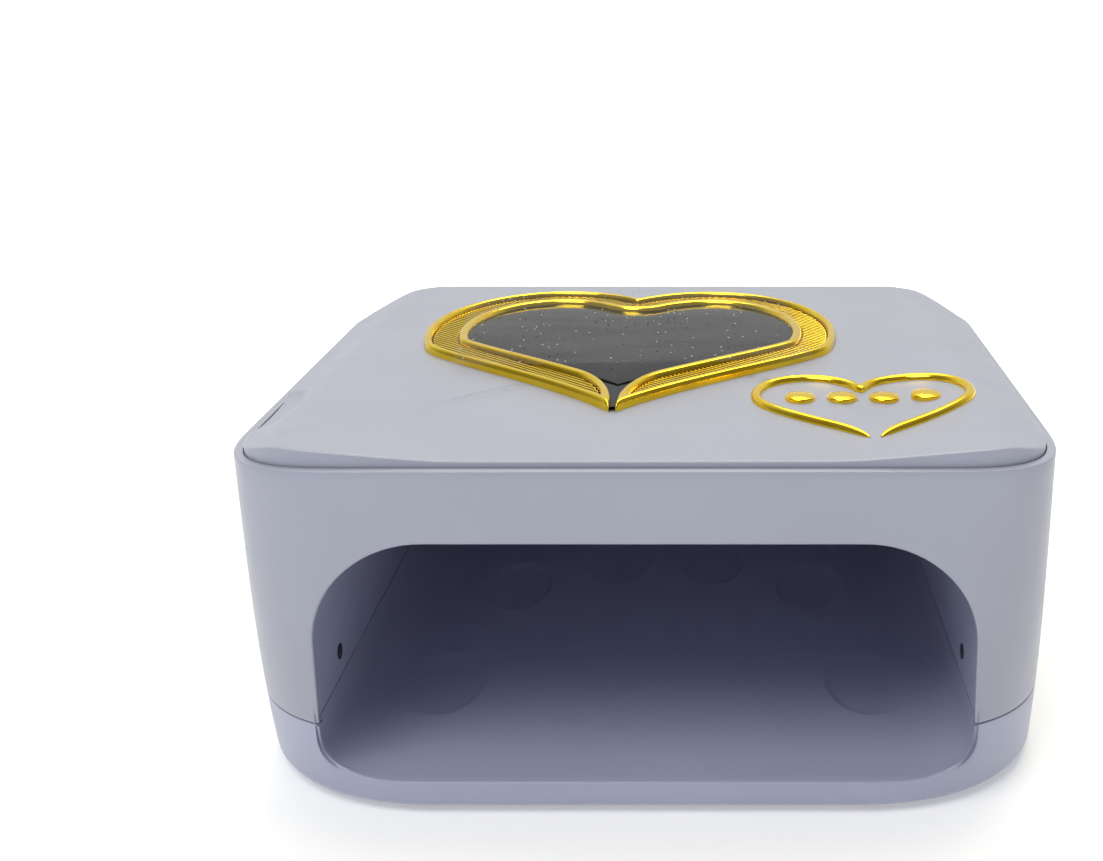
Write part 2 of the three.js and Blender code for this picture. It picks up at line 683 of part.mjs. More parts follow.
// The trough's section in X and Z, left to right: straight sides, tight lower corners, flat floor.
function tubOutline(halfWidth, floor) {
  const { across, top, power } = TUB_CORNER;
  const steps = 8;
  const right = [];
  for (let i = 0; i <= steps; i += 1) {
    const angle = i / steps * Math.PI / 2;
    right.push(new THREE.Vector2(
      halfWidth - across + across * Math.sin(angle) ** (2 / power),
      top - (top - floor) * Math.cos(angle) ** (2 / power),
    ));
  }
  right.push(new THREE.Vector2(halfWidth, SEAM_Z + 12));
  const left = right.map((p) => new THREE.Vector2(-p.x, p.y)).reverse();
  return [...left, ...right];
}

function tubRing(y, halfWidth, floor) {
  return tubOutline(halfWidth, floor).map((p) => new THREE.Vector3(p.x, y, p.y));
}

function tubSpace(grow, floor, nearY) {
  const ring = (y, half) => tubRing(y, half + grow, floor);
  const rings = [ring(nearY, TUNNEL.halfWidth)];
  for (let i = 0; i <= 4; i += 1) {
    const angle = i / 4 * Math.PI / 2;
    const y = TUNNEL.back - TUNNEL.backCorner + TUNNEL.backCorner * Math.sin(angle) + grow;
    rings.push(ring(y, TUNNEL.halfWidth - TUNNEL.backCorner * (1 - Math.cos(angle)) * 0.9));
  }
  return loft(rings);
}

function dimples() {
  return DIMPLE.spots.flatMap(([x, y]) => [-1, 1].map((side) => {
    const ball = new THREE.SphereGeometry(1, 16, 6);
    ball.rotateX(Math.PI / 2);
    ball.scale(DIMPLE.wide, DIMPLE.long, DIMPLE.deep * 2);
    ball.translate(side * x, y, TUNNEL.floor + DIMPLE.deep * 0.75);
    return toSolid(ball);
  }));
}

const TRAY_TOP = SEAM_Z - 0.2;
const PLATE_TOP = FOOT + 2;
const FOOT_SPOTS = [[-98, -60], [98, -60], [-92, 62], [92, 62]];
const MAGNET = { radius: 4, thick: 3, x: 104.5, ys: [-34, 24] };

const TRAY_EDGE = 3;          // radius of the tray's lower edge

function baseTray() {
  const edgeRings = [0, 0.35, 0.7, 1].map((t) => {
    const inset = TRAY_EDGE * (1 - Math.sqrt(1 - (1 - t) ** 2));
    return bodyRing(FOOT + TRAY_EDGE * t, inset);
  });
  const outer = loft([...edgeRings, bodyRing(16, 0), bodyRing(TRAY_TOP, 0)]);
  const room = loft([3, 30, 60].map((z) => bodyRing(z, WALL)));
  const mouthWall = front + WALL + 0.8;
  const tub = tubSpace(0, TUNNEL.floor, mouthWall).intersect(room);
  const mouthShape = new THREE.Shape(tubOutline(OPENING.footHalfWidth, OPENING.lip));
  const mouth = wallPrism(mouthShape, front - 10, front + 10);
  const hollow = loft([-1, 12, TRAY_TOP - WALL].map((z) => bodyRing(Math.max(z, 3), WALL + 0.6, z)));
  const floorUnderside = TUNNEL.floor - FLOOR_THICK;
  const underTub = tubSpace(WALL, floorUnderside, mouthWall);
  const frontBar = block(2 * TUNNEL.halfWidth, 20, 40, 0, front, floorUnderside + 20);
  let tray = cut(outer, hollow.subtract(underTub.add(frontBar)), tub, mouth, ...dimples());
  for (const [x, y] of FOOT_SPOTS) {
    tray = tray.add(drum(4.2, PLATE_TOP + GAP, TRAY_TOP - 1, x, y, 14));
    tray = tray.subtract(drum(1.7, 0, 16, x, y, 10));
  }
  for (const side of [-1, 1]) {
    for (const y of MAGNET.ys) {
      const seat = drum(5.6, TRAY_TOP - 5, TRAY_TOP - 1, side * MAGNET.x, y, 16);
      const pocketFloor = TRAY_TOP - MAGNET.thick - 0.4;
      const pocket = drum(MAGNET.radius + GAP, pocketFloor, TRAY_TOP + 10, side * MAGNET.x, y, 16);
      tray = tray.add(seat).subtract(pocket);
    }
  }
  return tray;
}

function trayBottomPlate() {
  let plate = loft([FOOT, PLATE_TOP].map((z) => bodyRing(3, WALL + 1.2, z)));
  for (const [x, y] of FOOT_SPOTS) {
    plate = cut(plate, drum(7.3, 0, FOOT + 0.8, x, y, 24), drum(1.9, 0, 8, x, y, 12));
  }
  return plate;
}

function screw(x, y) {
  const low = SCREW_HEAD_TOP - SCREW_HEAD;
  const head = drum(2.7, low, SCREW_HEAD_TOP, x, y, 14);
  const shank = drum(1.3, low, SCREW_HEAD_TOP + 12, x, y, 8);
  const slot = block(3.6, 0.7, 1.2, x, y, low);
  return head.add(shank).subtract(slot);
}

// ---------- assembly ----------
piece('main_housing', mainHousing(), 'shell');
piece('top_cover', topCover(), 'shell');
piece('tunnel_liner', tunnelLiner(), 'tunnel');
piece('base_tray', baseTray(), 'shell');
piece('tray_bottom_plate', trayBottomPlate(), 'shell');

piece('heart_bezel', heartBezel(), 'gold');
piece('heart_display_window', heartWindow(), 'smoked');
piece('display_protective_film', protectiveFilm(), 'film');
piece('button_frame_heart', sweptHeart(SMALL_HEART.rod / 2, -0.9, 2), 'gold');
['button_30s', 'button_60s', 'button_90s', 'button_120s'].forEach((name, i) => {
  piece(name, pushButton(i), 'gold');
});

piece('button_board', buttonBoard(), 'board');
piece('display_board', displayBoard(), 'board');
piece('control_board', controlBoard(), 'board');
piece('led_board_ceiling', ceilingLedBoard(), 'lens');
piece('led_board_left', sideLedParts(-1, 2.4, true), 'lens');
piece('led_board_right', sideLedParts(1, 2.4, true), 'lens');
piece('led_board_rear', rearLedParts(2.4, true), 'lens');
piece('ir_sensor_left', sensor(-1, SENSOR.radius, TUNNEL.halfWidth - 0.2, TUNNEL.halfWidth + 7), 'sensor');
piece('ir_sensor_right', sensor(1, SENSOR.radius, TUNNEL.halfWidth - 0.2, TUNNEL.halfWidth + 7), 'sensor');

piece('battery_holder', batteryHolder(), 'black');
BATTERY_Y.forEach((y, row) => {
  [-1, 1].forEach((side) => {
    const name = `battery_cell_${row ? 'rear' : 'front'}_${side < 0 ? 'left' : 'right'}`;
    piece(name, lyingCell(CELL.radius, CELL.length, side * (CELL.length / 2 + 0.6), y), 'battery');
  });
});
piece('charging_jack', chargingJack(), 'black');
piece('battery_lead', lead([[-74, 56, 94], [-80, 30, 93], [-82, -10, 92], [-80, -45, 91], [-75, -58, 90]], 1.2), 'black');
piece('charging_lead', lead([[62, 95, 55.6], [62.5, 95.4, 66], [67, 92, 80], [77, 82, 90], [77, 66, 94]], 1.2), 'black');

const corners = ['front_left', 'rear_left', 'front_right', 'rear_right'];
corners.forEach((corner, i) => {
  const side = i < 2 ? -1 : 1;
  const y = BOSS.ys[i % 2];
  piece(`housing_screw_${corner}`, screw(side * BOSS.x, y), 'steel');
  const magnetY = MAGNET.ys[i % 2];
  const trayMagnetTop = TRAY_TOP - 0.1;
  const lampMagnetLow = SEAM_Z + LINER_RIM + 2 * GAP;
  piece(`tray_magnet_${corner}`,
    drum(MAGNET.radius, trayMagnetTop - MAGNET.thick, trayMagnetTop, side * MAGNET.x, magnetY, 16), 'steel');
  piece(`lamp_magnet_${corner}`,
    drum(MAGNET.radius, lampMagnetLow, lampMagnetLow + MAGNET.thick, side * MAGNET.x, magnetY, 16), 'steel');
});
['front_left', 'front_right', 'rear_left', 'rear_right'].forEach((corner, i) => {
  const [x, y] = FOOT_SPOTS[i];
  const foot = drum(7, 0, FOOT + 0.5, x, y, 24).subtract(drum(3, 1.1, 4, x, y, 14));
  piece(`rubber_foot_${corner}`, foot, 'rubber');
});

export default lamp;
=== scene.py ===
"""Looks for the uv led nail lamp: fine skins over the CAD frame, materials, light and camera.

Every length in the building code is in millimetres, and becomes metres in make_mesh().
X runs to the right of someone facing the hand opening, Y to the back, Z up.
"""

import json
import math

import bmesh
import bpy
import numpy as np
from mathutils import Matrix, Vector
from mathutils.geometry import tessellate_polygon


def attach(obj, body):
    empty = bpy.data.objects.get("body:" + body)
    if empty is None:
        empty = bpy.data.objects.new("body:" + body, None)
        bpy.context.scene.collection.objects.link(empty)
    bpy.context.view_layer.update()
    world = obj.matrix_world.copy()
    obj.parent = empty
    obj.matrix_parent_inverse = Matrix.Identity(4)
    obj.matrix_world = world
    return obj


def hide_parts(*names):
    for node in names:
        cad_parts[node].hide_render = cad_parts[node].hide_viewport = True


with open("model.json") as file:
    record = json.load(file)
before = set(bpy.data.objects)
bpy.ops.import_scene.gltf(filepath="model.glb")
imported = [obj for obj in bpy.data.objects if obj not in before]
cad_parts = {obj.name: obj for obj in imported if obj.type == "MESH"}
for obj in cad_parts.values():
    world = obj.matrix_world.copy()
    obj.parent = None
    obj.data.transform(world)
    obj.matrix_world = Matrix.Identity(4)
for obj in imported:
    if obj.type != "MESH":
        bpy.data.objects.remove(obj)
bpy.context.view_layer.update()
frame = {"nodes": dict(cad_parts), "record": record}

# ---------- driving dimensions, as in the CAD source ----------
WIDTH, DEPTH = 230.0, 208.0
FOOT, SEAM_Z, RIM_Z = 2.0, 27.0, 105.0
WALL = 2.5
FLARE_SIDE, FLARE_FRONT, FLARE_POWER = 5.6, 0.6, 1.45
FRONT_CORNER_RIM, FRONT_CORNER_FOOT, FRONT_POWER_RIM, FRONT_POWER_FOOT = 37.0, 62.0, 3.2, 2.2
BACK_CORNER_RIM, BACK_CORNER_FOOT, BACK_POWER = 50.0, 58.0, 2.1
FRONT = -DEPTH / 2
OPENING_HALF, OPENING_FOOT_HALF, OPENING_TOP, OPENING_CORNER, LIP_Z = 92.0, 93.0, 84.0, 32.0, 10.8
TUNNEL_HALF, TUNNEL_BACK, TUNNEL_FLOOR, TUNNEL_DROP = 94.2, 81.0, 9.6, 8.0
TUNNEL_CORNER, TUNNEL_CORNER_ACROSS = 25.0, 22.5
MOUTH_DEPTH = 3.4             # how far the front wall's edge runs in before the tunnel starts
TUB_ACROSS, TUB_TOP, TUB_POWER = 21.0, 24.0, 2.5
SHOULDER_SIDE, SHOULDER_BACK = 16.0, 8.0
LID_FRONT, LID_BACK, LID_EDGE, DISH = 5.1, 5.9, 1.7, 3.2
LID_INSET = 2.8
SEAM_HALF = 0.2               # each side of the seam between lamp and tray
TRAY_EDGE = 3.0               # radius of the tray's lower edge
VENT_COUNT, VENT_PITCH, VENT_WIDTH, VENT_LOW, VENT_HIGH = 9, 8.0, 3.0, 72.0, 92.0
JACK_X, JACK_Z, JACK_HOLE = 62.0, 50.0, 4.2
SCREW_X, SCREW_YS, SCREW_HOLE = 104.0, (-64, 52), 3.1
MAGNET_X, MAGNET_YS, MAGNET_HOLE = 104.5, (-34, 24), 4.3

HEART_TURN = math.radians(-0.8)
HEART_X, HEART_TIP, HEART_LENGTH = -10.8, FRONT + 42, 134.0
LOBE_X, LOBE_Y, LOBE_HALF_WIDTH, LOBE_HALF_LENGTH = 26.6, 82.0, 44.3, 52.0
LOBE_FROM = math.radians(-22)
SIDE_BENDS = ((19.0, 26.0), (64.8, 51.5))
BAND, SLOT = 15.0, 2.0
SMALL_X, SMALL_TIP = 64.0, FRONT + 20
SMALL_LOBE, SMALL_LOBE_X, SMALL_LOBE_Y, ROD = 16.6, 15.6, 37.0, 3.3
SMALL_ARM_TIP, SMALL_ARM_BEND, SMALL_HIP_BEND = (1.7, 1.5), (6.0, 9.0), (8, 11)
SMALL_HIP = math.radians(-35)
BUTTON_PITCH, BUTTON_Y, BUTTON_RADIUS = 12.65, FRONT + 55.5, 4.5


# ---------- meshes ----------
# name of the mesh attribute that marks where the gold gets painted shade: grooves, step lines and slot
MARK = "painted_shade"


def make_mesh(name, grids, weld=0.02):
    """One object from grids of points in millimetres, welded where they meet.

    A grid's shape is (rows, columns, 3), or 4 where each point also carries the mark of painted
    shade that its material reads.
    """
    bm = bmesh.new()
    marks = bm.verts.layers.float.new(MARK) if any(grid.shape[2] > 3 for grid in grids) else None

    def vertex(p):
        vert = bm.verts.new(Vector(p[:3]) / 1000)
        if marks:
            vert[marks] = p[3]
        return vert

    for grid in grids:
        rows = [[vertex(p) for p in row] for row in grid]
        for low, high in zip(rows, rows[1:]):
            for i in range(len(low) - 1):
                bm.faces.new((low[i], low[i + 1], high[i + 1], high[i]))
    bmesh.ops.remove_doubles(bm, verts=bm.verts, dist=weld / 1000)
    bmesh.ops.dissolve_degenerate(bm, edges=bm.edges, dist=1e-6)
    bmesh.ops.recalc_face_normals(bm, faces=bm.faces)
    mesh = bpy.data.meshes.new(name)
    bm.to_mesh(mesh)
    bm.free()
    return link(name, mesh)


def link(name, mesh):
    obj = bpy.data.objects.new(name, mesh)
    bpy.context.scene.collection.objects.link(obj)
    return obj


def settle(obj, sharp=35):
    """Applies the modifiers and shades the mesh smooth, apart from edges sharper than that angle."""
    graph = bpy.context.evaluated_depsgraph_get()
    mesh = bpy.data.meshes.new_from_object(obj.evaluated_get(graph))
    obj.modifiers.clear()
    obj.data = mesh
    mesh.shade_smooth()
    mesh.set_sharp_from_angle(angle=math.radians(sharp))
    return obj


def thicken(obj, thickness, bevel, segments=3):
    """Gives a skin a thickness inwards, in millimetres, and rounds its edges."""
    solid = obj.modifiers.new("wall", "SOLIDIFY")
    solid.thickness = thickness / 1000
    solid.offset = -1
    solid.use_even_offset = True
    rounding = obj.modifiers.new("edges", "BEVEL")
    rounding.width = bevel / 1000
    rounding.segments = segments
    rounding.limit_method = "ANGLE"
    rounding.angle_limit = math.radians(50)
    rounding.use_clamp_overlap = False
    obj.modifiers.new("normals", "WEIGHTED_NORMAL").keep_sharp = True
    return settle(obj, 60)


def dress(obj, material, body, *stands_for):
    obj.data.materials.clear()
    obj.data.materials.append(material)
    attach(obj, body)
    if stands_for:
        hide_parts(*stands_for)
    return obj


def closed(points):
    return np.concatenate([points, points[:1]])


def smooth(t):
    """Eases from 0 to 1 as t goes from 0 to 1."""
    t = np.clip(t, 0, 1)
    return t * t * (3 - 2 * t)


def bezier(start, bend, second_bend, end, count):
    """Points along a cubic curve between two ends, drawn towards its two bends."""
    points = []
    for t in np.linspace(0, 1, count):
        rest = 1 - t
        ends = rest ** 3 * start + t ** 3 * end
        points.append(ends + 3 * t * rest * (rest * bend + t * second_bend))
    return points


def spread(curve, count):
    """A flat curve as that many evenly spaced points."""
    curve = np.array(curve)
    length = np.concatenate([[0], np.cumsum(np.linalg.norm(np.diff(curve, axis=0), axis=1))])
    spots = np.linspace(0, length[-1], count)
    return np.stack([np.interp(spots, length, curve[:, k]) for k in (0, 1)], axis=1)


def mirrored(right, y):
    """A cross-section at y, from its right half as (x, z) down to its middle."""
    return [(x, y, z) for x, z in right] + [(-x, y, z) for x, z in right[-2::-1]]


# ---------- plan of the body ----------
FRONT_SHARES = np.linspace(0, 1, 31)
PANEL_HALF = 72.0             # the middle of the back is built as its own panel, this wide each way
JACK_HALF = 7.0               # and the jack hole sits in a square patch of it
PANEL_GAPS = [-69.0, -66.0, -63.0, -60.0, -50.0, -40.0, 40.0, 46.0]


def vent_edges():
    middles = [(i - (VENT_COUNT - 1) / 2) * VENT_PITCH for i in range(VENT_COUNT)]
    return [(x - VENT_WIDTH / 2, x + VENT_WIDTH / 2) for x in middles]


def panel_stations():
    """Where the back panel's cells meet: its ends, the vents, the jack's square and between them."""
    edges = [x for pair in vent_edges() for x in pair]
    ends = [-PANEL_HALF, JACK_X - JACK_HALF, JACK_X + JACK_HALF, PANEL_HALF]
    return np.array(sorted(set(edges + ends + PANEL_GAPS)))


PANEL_XS = panel_stations()


def plan_sizes(z):
    """Half width, half depth, front corner size and power, and back corner size at height z."""
    down = max(0.0, (RIM_Z - z) / RIM_Z)
    flare = down ** FLARE_POWER
    half_width = WIDTH / 2 + FLARE_SIDE * flare
    half_depth = DEPTH / 2 + FLARE_FRONT * flare
    front_corner = FRONT_CORNER_RIM + (FRONT_CORNER_FOOT - FRONT_CORNER_RIM) * down ** 2
    front_power = FRONT_POWER_RIM + (FRONT_POWER_FOOT - FRONT_POWER_RIM) * down
    back_corner = BACK_CORNER_RIM + (BACK_CORNER_FOOT - BACK_CORNER_RIM) * down
    return half_width, half_depth, front_corner, front_power, back_corner


def front_reach(z):
    """Half width of the front face, up to the middle of its corners."""
    half, _, corner, power, _ = plan_sizes(z)
    return half - corner * (1 - 0.5 ** (1 / power))


def front_point(share, z):
    """A point on the front face; share runs from -1 at its left end to 1 at its right end."""
    half, depth, corner, power, _ = plan_sizes(z)
    x = share * front_reach(z)
    into = max(0.0, (abs(x) - (half - corner)) / corner)
    y = -(depth - corner + corner * (1 - into ** power) ** (1 / power))
    return np.array([x, y, z])


def back_point(x, z):
    half, depth, _, _, corner = plan_sizes(z)
    into = max(0.0, (abs(x) - (half - corner)) / corner)
    return np.array([x, depth - corner + corner * (1 - into ** BACK_POWER) ** (1 / BACK_POWER), z])


def right_side(z):
    """The outline from the right front corner's middle back to the edge of the back panel."""
    half, depth, front_corner, power, corner = plan_sizes(z)
    points = []
    for angle in np.linspace(math.pi / 4, 0, 15):
        across, along = math.cos(angle) ** (2 / power), max(0.0, math.sin(angle)) ** (2 / power)
        points.append((half - front_corner + front_corner * across,
                       -(depth - front_corner + front_corner * along)))
    for y in np.linspace(front_corner - depth, depth - corner, 90)[1:]:
        points.append((half, y))
    last = math.acos(((PANEL_HALF - half + corner) / corner) ** (BACK_POWER / 2))
    for angle in np.linspace(0, last, 25)[1:]:
        across, along = math.cos(angle) ** (2 / BACK_POWER), math.sin(angle) ** (2 / BACK_POWER)
        points.append((half - corner + corner * across, depth - corner + corner * along))
    return np.array([(x, y, z) for x, y in points])


def left_side(z):
    return right_side(z)[::-1] * (-1, 1, 1)


def back_panel(z):
    return np.array([back_point(x, z) for x in PANEL_XS[::-1]])


def around(z):
    """The outline from the right front corner's middle round the back to the left one's."""
    return np.concatenate([right_side(z), back_panel(z)[1:-1], left_side(z)])


def outline(z, inset=0.0, at_z=None):
    """The whole closed outline at height z, moved in by inset, from the middle of the front round."""
    front_right = np.array([front_point(s, z) for s in FRONT_SHARES])
    front_left = front_right[::-1] * (-1, 1, 1)
    loop = np.concatenate([front_right, around(z)[1:-1], front_left[:-1]])
    moved = loop - facing_out(np.roll(loop, -1, axis=0) - np.roll(loop, 1, axis=0)) * inset
    moved[:, 2] = z if at_z is None else at_z
    return closed(moved)


def facing_out(tangent):
    """Level unit vectors to the right of a path that runs anticlockwise round the body."""
    normal = np.stack([tangent[:, 1], -tangent[:, 0], np.zeros(len(tangent))], axis=1)
    return normal / np.linalg.norm(normal, axis=1, keepdims=True)


# ---------- housing and tray skins ----------
EDGE = 0.7                    # radius of the rounded edges round the mouth
SEAM_EDGE = 0.35              # and of those along the seam
QUARTER = np.linspace(0, math.pi / 2, 5)


def matched(curve, corner, below, above):
    """A mouth's right half as points: below of them up to its corner's middle, then above more."""
    lower, upper = spread(curve[:corner + 1], below), spread(curve[corner:], above)
    return np.concatenate([lower, upper[1:]])


def away(mouth):
    """Unit vectors from a mouth's right half into the wall round it."""
    along = np.gradient(mouth, axis=0)
    out = np.stack([along[:, 1], -along[:, 0]], axis=1)
    out[-1] = (0, np.sign(out[-1][1]) or 1)
    out /= np.linalg.norm(out, axis=1, keepdims=True)
    return out if out[0][0] > 0 else -out


def both_halves(right):
    """Carries the rows of a right half on to its mirror image."""
    right = np.array(right)
    return np.concatenate([right, right[:, -2::-1] * (-1, 1, 1)], axis=1)


def pierced_front(mouth, border, depth, rings=7):
    """The front face round a mouth, and the rounded edge and wall that lead into the mouth."""
    out = away(mouth)
    grown = mouth + out * EDGE
    start = np.array([(x / front_reach(z), z) for x, z in grown])
    face = [[front_point(s, z) for s, z in start + (border - start) * t]
            for t in (np.arange(rings + 1) / rings) ** 1.25]
    into = []
    for angle in QUARTER:
        shifted = mouth + out * EDGE * (1 - math.sin(angle))
        into.append([front_point(p[0] / front_reach(p[1]), p[1]) + (0, EDGE * (1 - math.cos(angle)), 0)
                     for p in shifted])
    into.append([np.array([p[0], FRONT + depth, p[2]]) for p in into[-1]])
    return both_halves(face), both_halves(into)


def seam_edge(face, z, toward):
    """The rounded edge and narrow flat where a skin ends at the seam; toward is 1 up, -1 down."""
    right, left = face[:, 0], face[::-1, -1]
    path = np.concatenate([right, around(z)[1:-1], left])
    inward = -facing_out(np.gradient(path, axis=0))
    rows = []
    for angle in QUARTER:
        lift = toward * SEAM_EDGE * math.sin(angle)
        rows.append(path + inward * SEAM_EDGE * (1 - math.cos(angle)) + (0, 0, lift))
    rows.append(rows[-1] + inward * (WALL - SEAM_EDGE))
    return np.array(rows)


def panel_with_holes(levels):
    """The back panel's cells, leaving out the vent slots and the square round the jack."""
    cells = []
    for low, high in zip(levels, levels[1:]):
        for left, right in zip(PANEL_XS, PANEL_XS[1:]):
            x, z = (left + right) / 2, (low + high) / 2
            in_slot = VENT_LOW < z < VENT_HIGH and any(a < x < b for a, b in vent_edges())
            if in_slot or max(abs(x - JACK_X), abs(z - JACK_Z)) < JACK_HALF:
                continue
            corners = [[back_point(left, low), back_point(right, low)],
                       [back_point(left, high), back_point(right, high)]]
            cells.append(np.array(corners))
    return cells


def hole_walls(rim):
    """The walls of a hole through the back, from its rim, a closed path on the surface."""
    rim = closed(np.array(rim))
    return np.array([rim, rim - (0, WALL, 0)])


def vents():
    walls = []
    for left, right in vent_edges():
        corners = [(left, VENT_LOW), (right, VENT_LOW), (right, VENT_HIGH), (left, VENT_HIGH)]
        walls.append(hole_walls([back_point(x, z) for x, z in corners]))
    return walls


def jack_patch():
    """A square patch with a round hole, and the hole's wall."""
    around_it = np.linspace(0, 2 * math.pi, 49)
    square, circle = [], []
    for angle in around_it:
        across, along = math.cos(angle), math.sin(angle)
        reach = JACK_HALF / max(abs(across), abs(along))
        square.append(back_point(JACK_X + across * reach, JACK_Z + along * reach))
        circle.append(back_point(JACK_X + across * JACK_HOLE, JACK_Z + along * JACK_HOLE))
    return [np.array([square, circle]), hole_walls(circle[:-1])]


def housing():
    """The lamp's outer wall from the seam to the rim, with its mouth, vents and jack hole."""
    low, high = SEAM_Z + SEAM_HALF + SEAM_EDGE, RIM_Z - 0.4
    centre_x, centre_z = OPENING_HALF - OPENING_CORNER, OPENING_TOP - OPENING_CORNER
    steps = 48
    bend = 1 + steps // 2
    curve = [(OPENING_FOOT_HALF, low)]
    for angle in np.linspace(0, math.pi / 2, steps + 1):
        across, up = OPENING_CORNER * math.cos(angle), OPENING_CORNER * math.sin(angle)
        curve.append((centre_x + across, centre_z + up))
    curve.append((0, OPENING_TOP))
    levels = np.unique(np.concatenate([np.linspace(low, high, 22), [VENT_LOW, VENT_HIGH],
                                       [JACK_Z - JACK_HALF, JACK_Z + JACK_HALF]]))
    mouth = matched(curve, bend, len(levels), len(FRONT_SHARES))
    border = np.array([(1, z) for z in levels] + [(s, high) for s in FRONT_SHARES[::-1][1:]])
    face, into = pierced_front(mouth, border, MOUTH_DEPTH)
    sides = [np.array([side(z) for z in levels]) for side in (right_side, left_side)]
    rim = [outline(RIM_Z, 0, high), outline(RIM_Z, 0.12, RIM_Z - 0.12), outline(RIM_Z, 0.4, RIM_Z),
           outline(RIM_Z, WALL, RIM_Z), outline(RIM_Z, WALL, RIM_Z - 4)]
    seam = seam_edge(face, low, -1)
    grids = [face, into, *sides, *panel_with_holes(levels), *vents(), *jack_patch(), np.array(rim), seam]
    return settle(make_mesh("housing_skin", grids), 50)


def tub_outline(half, floor, steps=16, across_steps=18):
    """Right half of the tub's cross-section as (x, z), from its top edge down to its middle."""
    points = [(half, SEAM_Z - SEAM_HALF)]
    for angle in np.linspace(0, math.pi / 2, steps + 1):
        across = TUB_ACROSS * max(0.0, math.cos(angle)) ** (2 / TUB_POWER)
        down = (TUB_TOP - floor) * math.sin(angle) ** (2 / TUB_POWER)
        points.append((half - TUB_ACROSS + across, TUB_TOP - down))
    points += [(x, floor) for x in np.linspace(half - TUB_ACROSS, 0, across_steps + 1)[1:]]
    return points


def tray_shell():
    """The tray's outside from the seam down to its rounded lower edge."""
    high, low = SEAM_Z - SEAM_HALF - SEAM_EDGE, FOOT + TRAY_EDGE
    steps = 48
    bend = 2 + steps // 2
    curve = tub_outline(OPENING_FOOT_HALF, LIP_Z, steps)
    curve[0] = (OPENING_FOOT_HALF, high)
    levels = np.linspace(high, low, 16)
    mouth = matched(curve, bend, len(levels), len(FRONT_SHARES))
    border = np.array([(1, z) for z in levels] + [(s, low) for s in FRONT_SHARES[::-1][1:]])
    face, into = pierced_front(mouth, border, MOUTH_DEPTH, 6)
    sides = np.array([around(z) for z in levels])
    under = [outline(low - TRAY_EDGE * math.sin(a), TRAY_EDGE * (1 - math.cos(a)))
             for a in np.linspace(0, math.pi / 2, 9)]
    under.append(outline(FOOT, TRAY_EDGE + 0.6))
    seam = seam_edge(face, high, 1)
    return settle(make_mesh("tray_skin", [face, into, sides, np.array(under), seam]), 50)


DIMPLES = [(68, FRONT + 60), (54.5, FRONT + 135), (18.5, FRONT + 157)]
DIMPLE_ACROSS, DIMPLE_ALONG, DIMPLE_DEEP = 12.0, 20.0, 2.0


def tunnel_corner(count):
    """Stations round the tunnel's back corner, as (y, half width)."""
    return [(TUNNEL_BACK - TUNNEL_CORNER + TUNNEL_CORNER * math.sin(angle),
             TUNNEL_HALF - TUNNEL_CORNER_ACROSS * (1 - math.cos(angle)))
            for angle in np.linspace(0, math.pi / 2, count)]


def dimple_depth(x, y):
    """Oval finger rests: a crisp rim, a short steep side and a shallow bowl."""
    depth = 0.0
    for centre_x, centre_y in DIMPLES:
        reach = math.hypot((abs(x) - centre_x) / DIMPLE_ACROSS, (y - centre_y) / DIMPLE_ALONG)
        if reach < 1:
            depth += DIMPLE_DEEP * math.sqrt(1 - reach ** 2) ** 0.8
    return depth


def tub():
    """The tray's inside: rounded trough, finger dimples and curved back wall."""
    top = SEAM_Z - SEAM_HALF
    straight = np.arange(FRONT + MOUTH_DEPTH, TUNNEL_BACK - TUNNEL_CORNER, 1.0)
    rows = []
    for y, half in [(y, TUNNEL_HALF) for y in straight] + tunnel_corner(14):
        row = mirrored(tub_outline(half, TUNNEL_FLOOR, 16, 74), y)
        rows.append([(x, y, z - dimple_depth(x, y) * float(smooth((15 - z) / 4))) for x, y, z in row])
    last = np.array(rows[-1])
    for t in (0.25, 0.5, 0.75, 1.0):
        rise = last.copy()
        rise[:, 2] += (top - last[:, 2]) * t
        rise[:, 1] += 1.5 * math.sin(t * math.pi / 2)
        rows.append(rise)
    return settle(make_mesh("tray_tub", [np.array(rows)]), 40)


def flat_face(name, points, z, holes=()):
    """A flat face inside one closed outline in plan, with round holes given as (x, y, radius, depth)."""
    turns = np.linspace(0, 2 * math.pi, 33)[:-1]
    circles = [[(x + r * math.cos(a), y + r * math.sin(a)) for a in turns] for x, y, r, _ in holes]
    loops = [[Vector((p[0], p[1], 0)) for p in loop] for loop in [points, *circles]]
    flat = [p for loop in loops for p in loop]
    bm = bmesh.new()
    verts = [bm.verts.new((p.x / 1000, p.y / 1000, z / 1000)) for p in flat]
    for triangle in tessellate_polygon(loops):
        if len(set(triangle)) == 3:
            bm.faces.new([verts[i] for i in triangle])
    for circle, (_, _, _, depth) in zip(circles, holes):
        top = [bm.verts.new((x / 1000, y / 1000, z / 1000)) for x, y in circle]
        foot = [bm.verts.new((x / 1000, y / 1000, (z + depth) / 1000)) for x, y in circle]
        for i in range(len(circle)):
            after = (i + 1) % len(circle)
            bm.faces.new((top[i], top[after], foot[after], foot[i]))
    mesh = bpy.data.meshes.new(name)
    bm.to_mesh(mesh)
    bm.free()
    return link(name, mesh)


def rim_plan(inset):
    """The flat rim round the tunnel's sides and back: out along the body, in along the tunnel."""
    outer = outline(SEAM_Z, inset)[:-1, :2]
    outer = outer[(np.abs(outer[:, 0]) > TUNNEL_HALF) | (outer[:, 1] > 0)]
    right = [(TUNNEL_HALF, y) for y in (FRONT + 8, -50, 0, TUNNEL_BACK - TUNNEL_CORNER)]
    right += [(half, y) for y, half in tunnel_corner(12)[1:]]
    inner = np.array([(-x, y) for x, y in right] + right[::-1])
    return np.concatenate([outer, inner])


def holes_at(x, ys, radius, depth):
    """Round holes on both sides of the middle, for flat_face()."""
    return [(side * x, y, radius, depth) for side in (-1, 1) for y in ys]


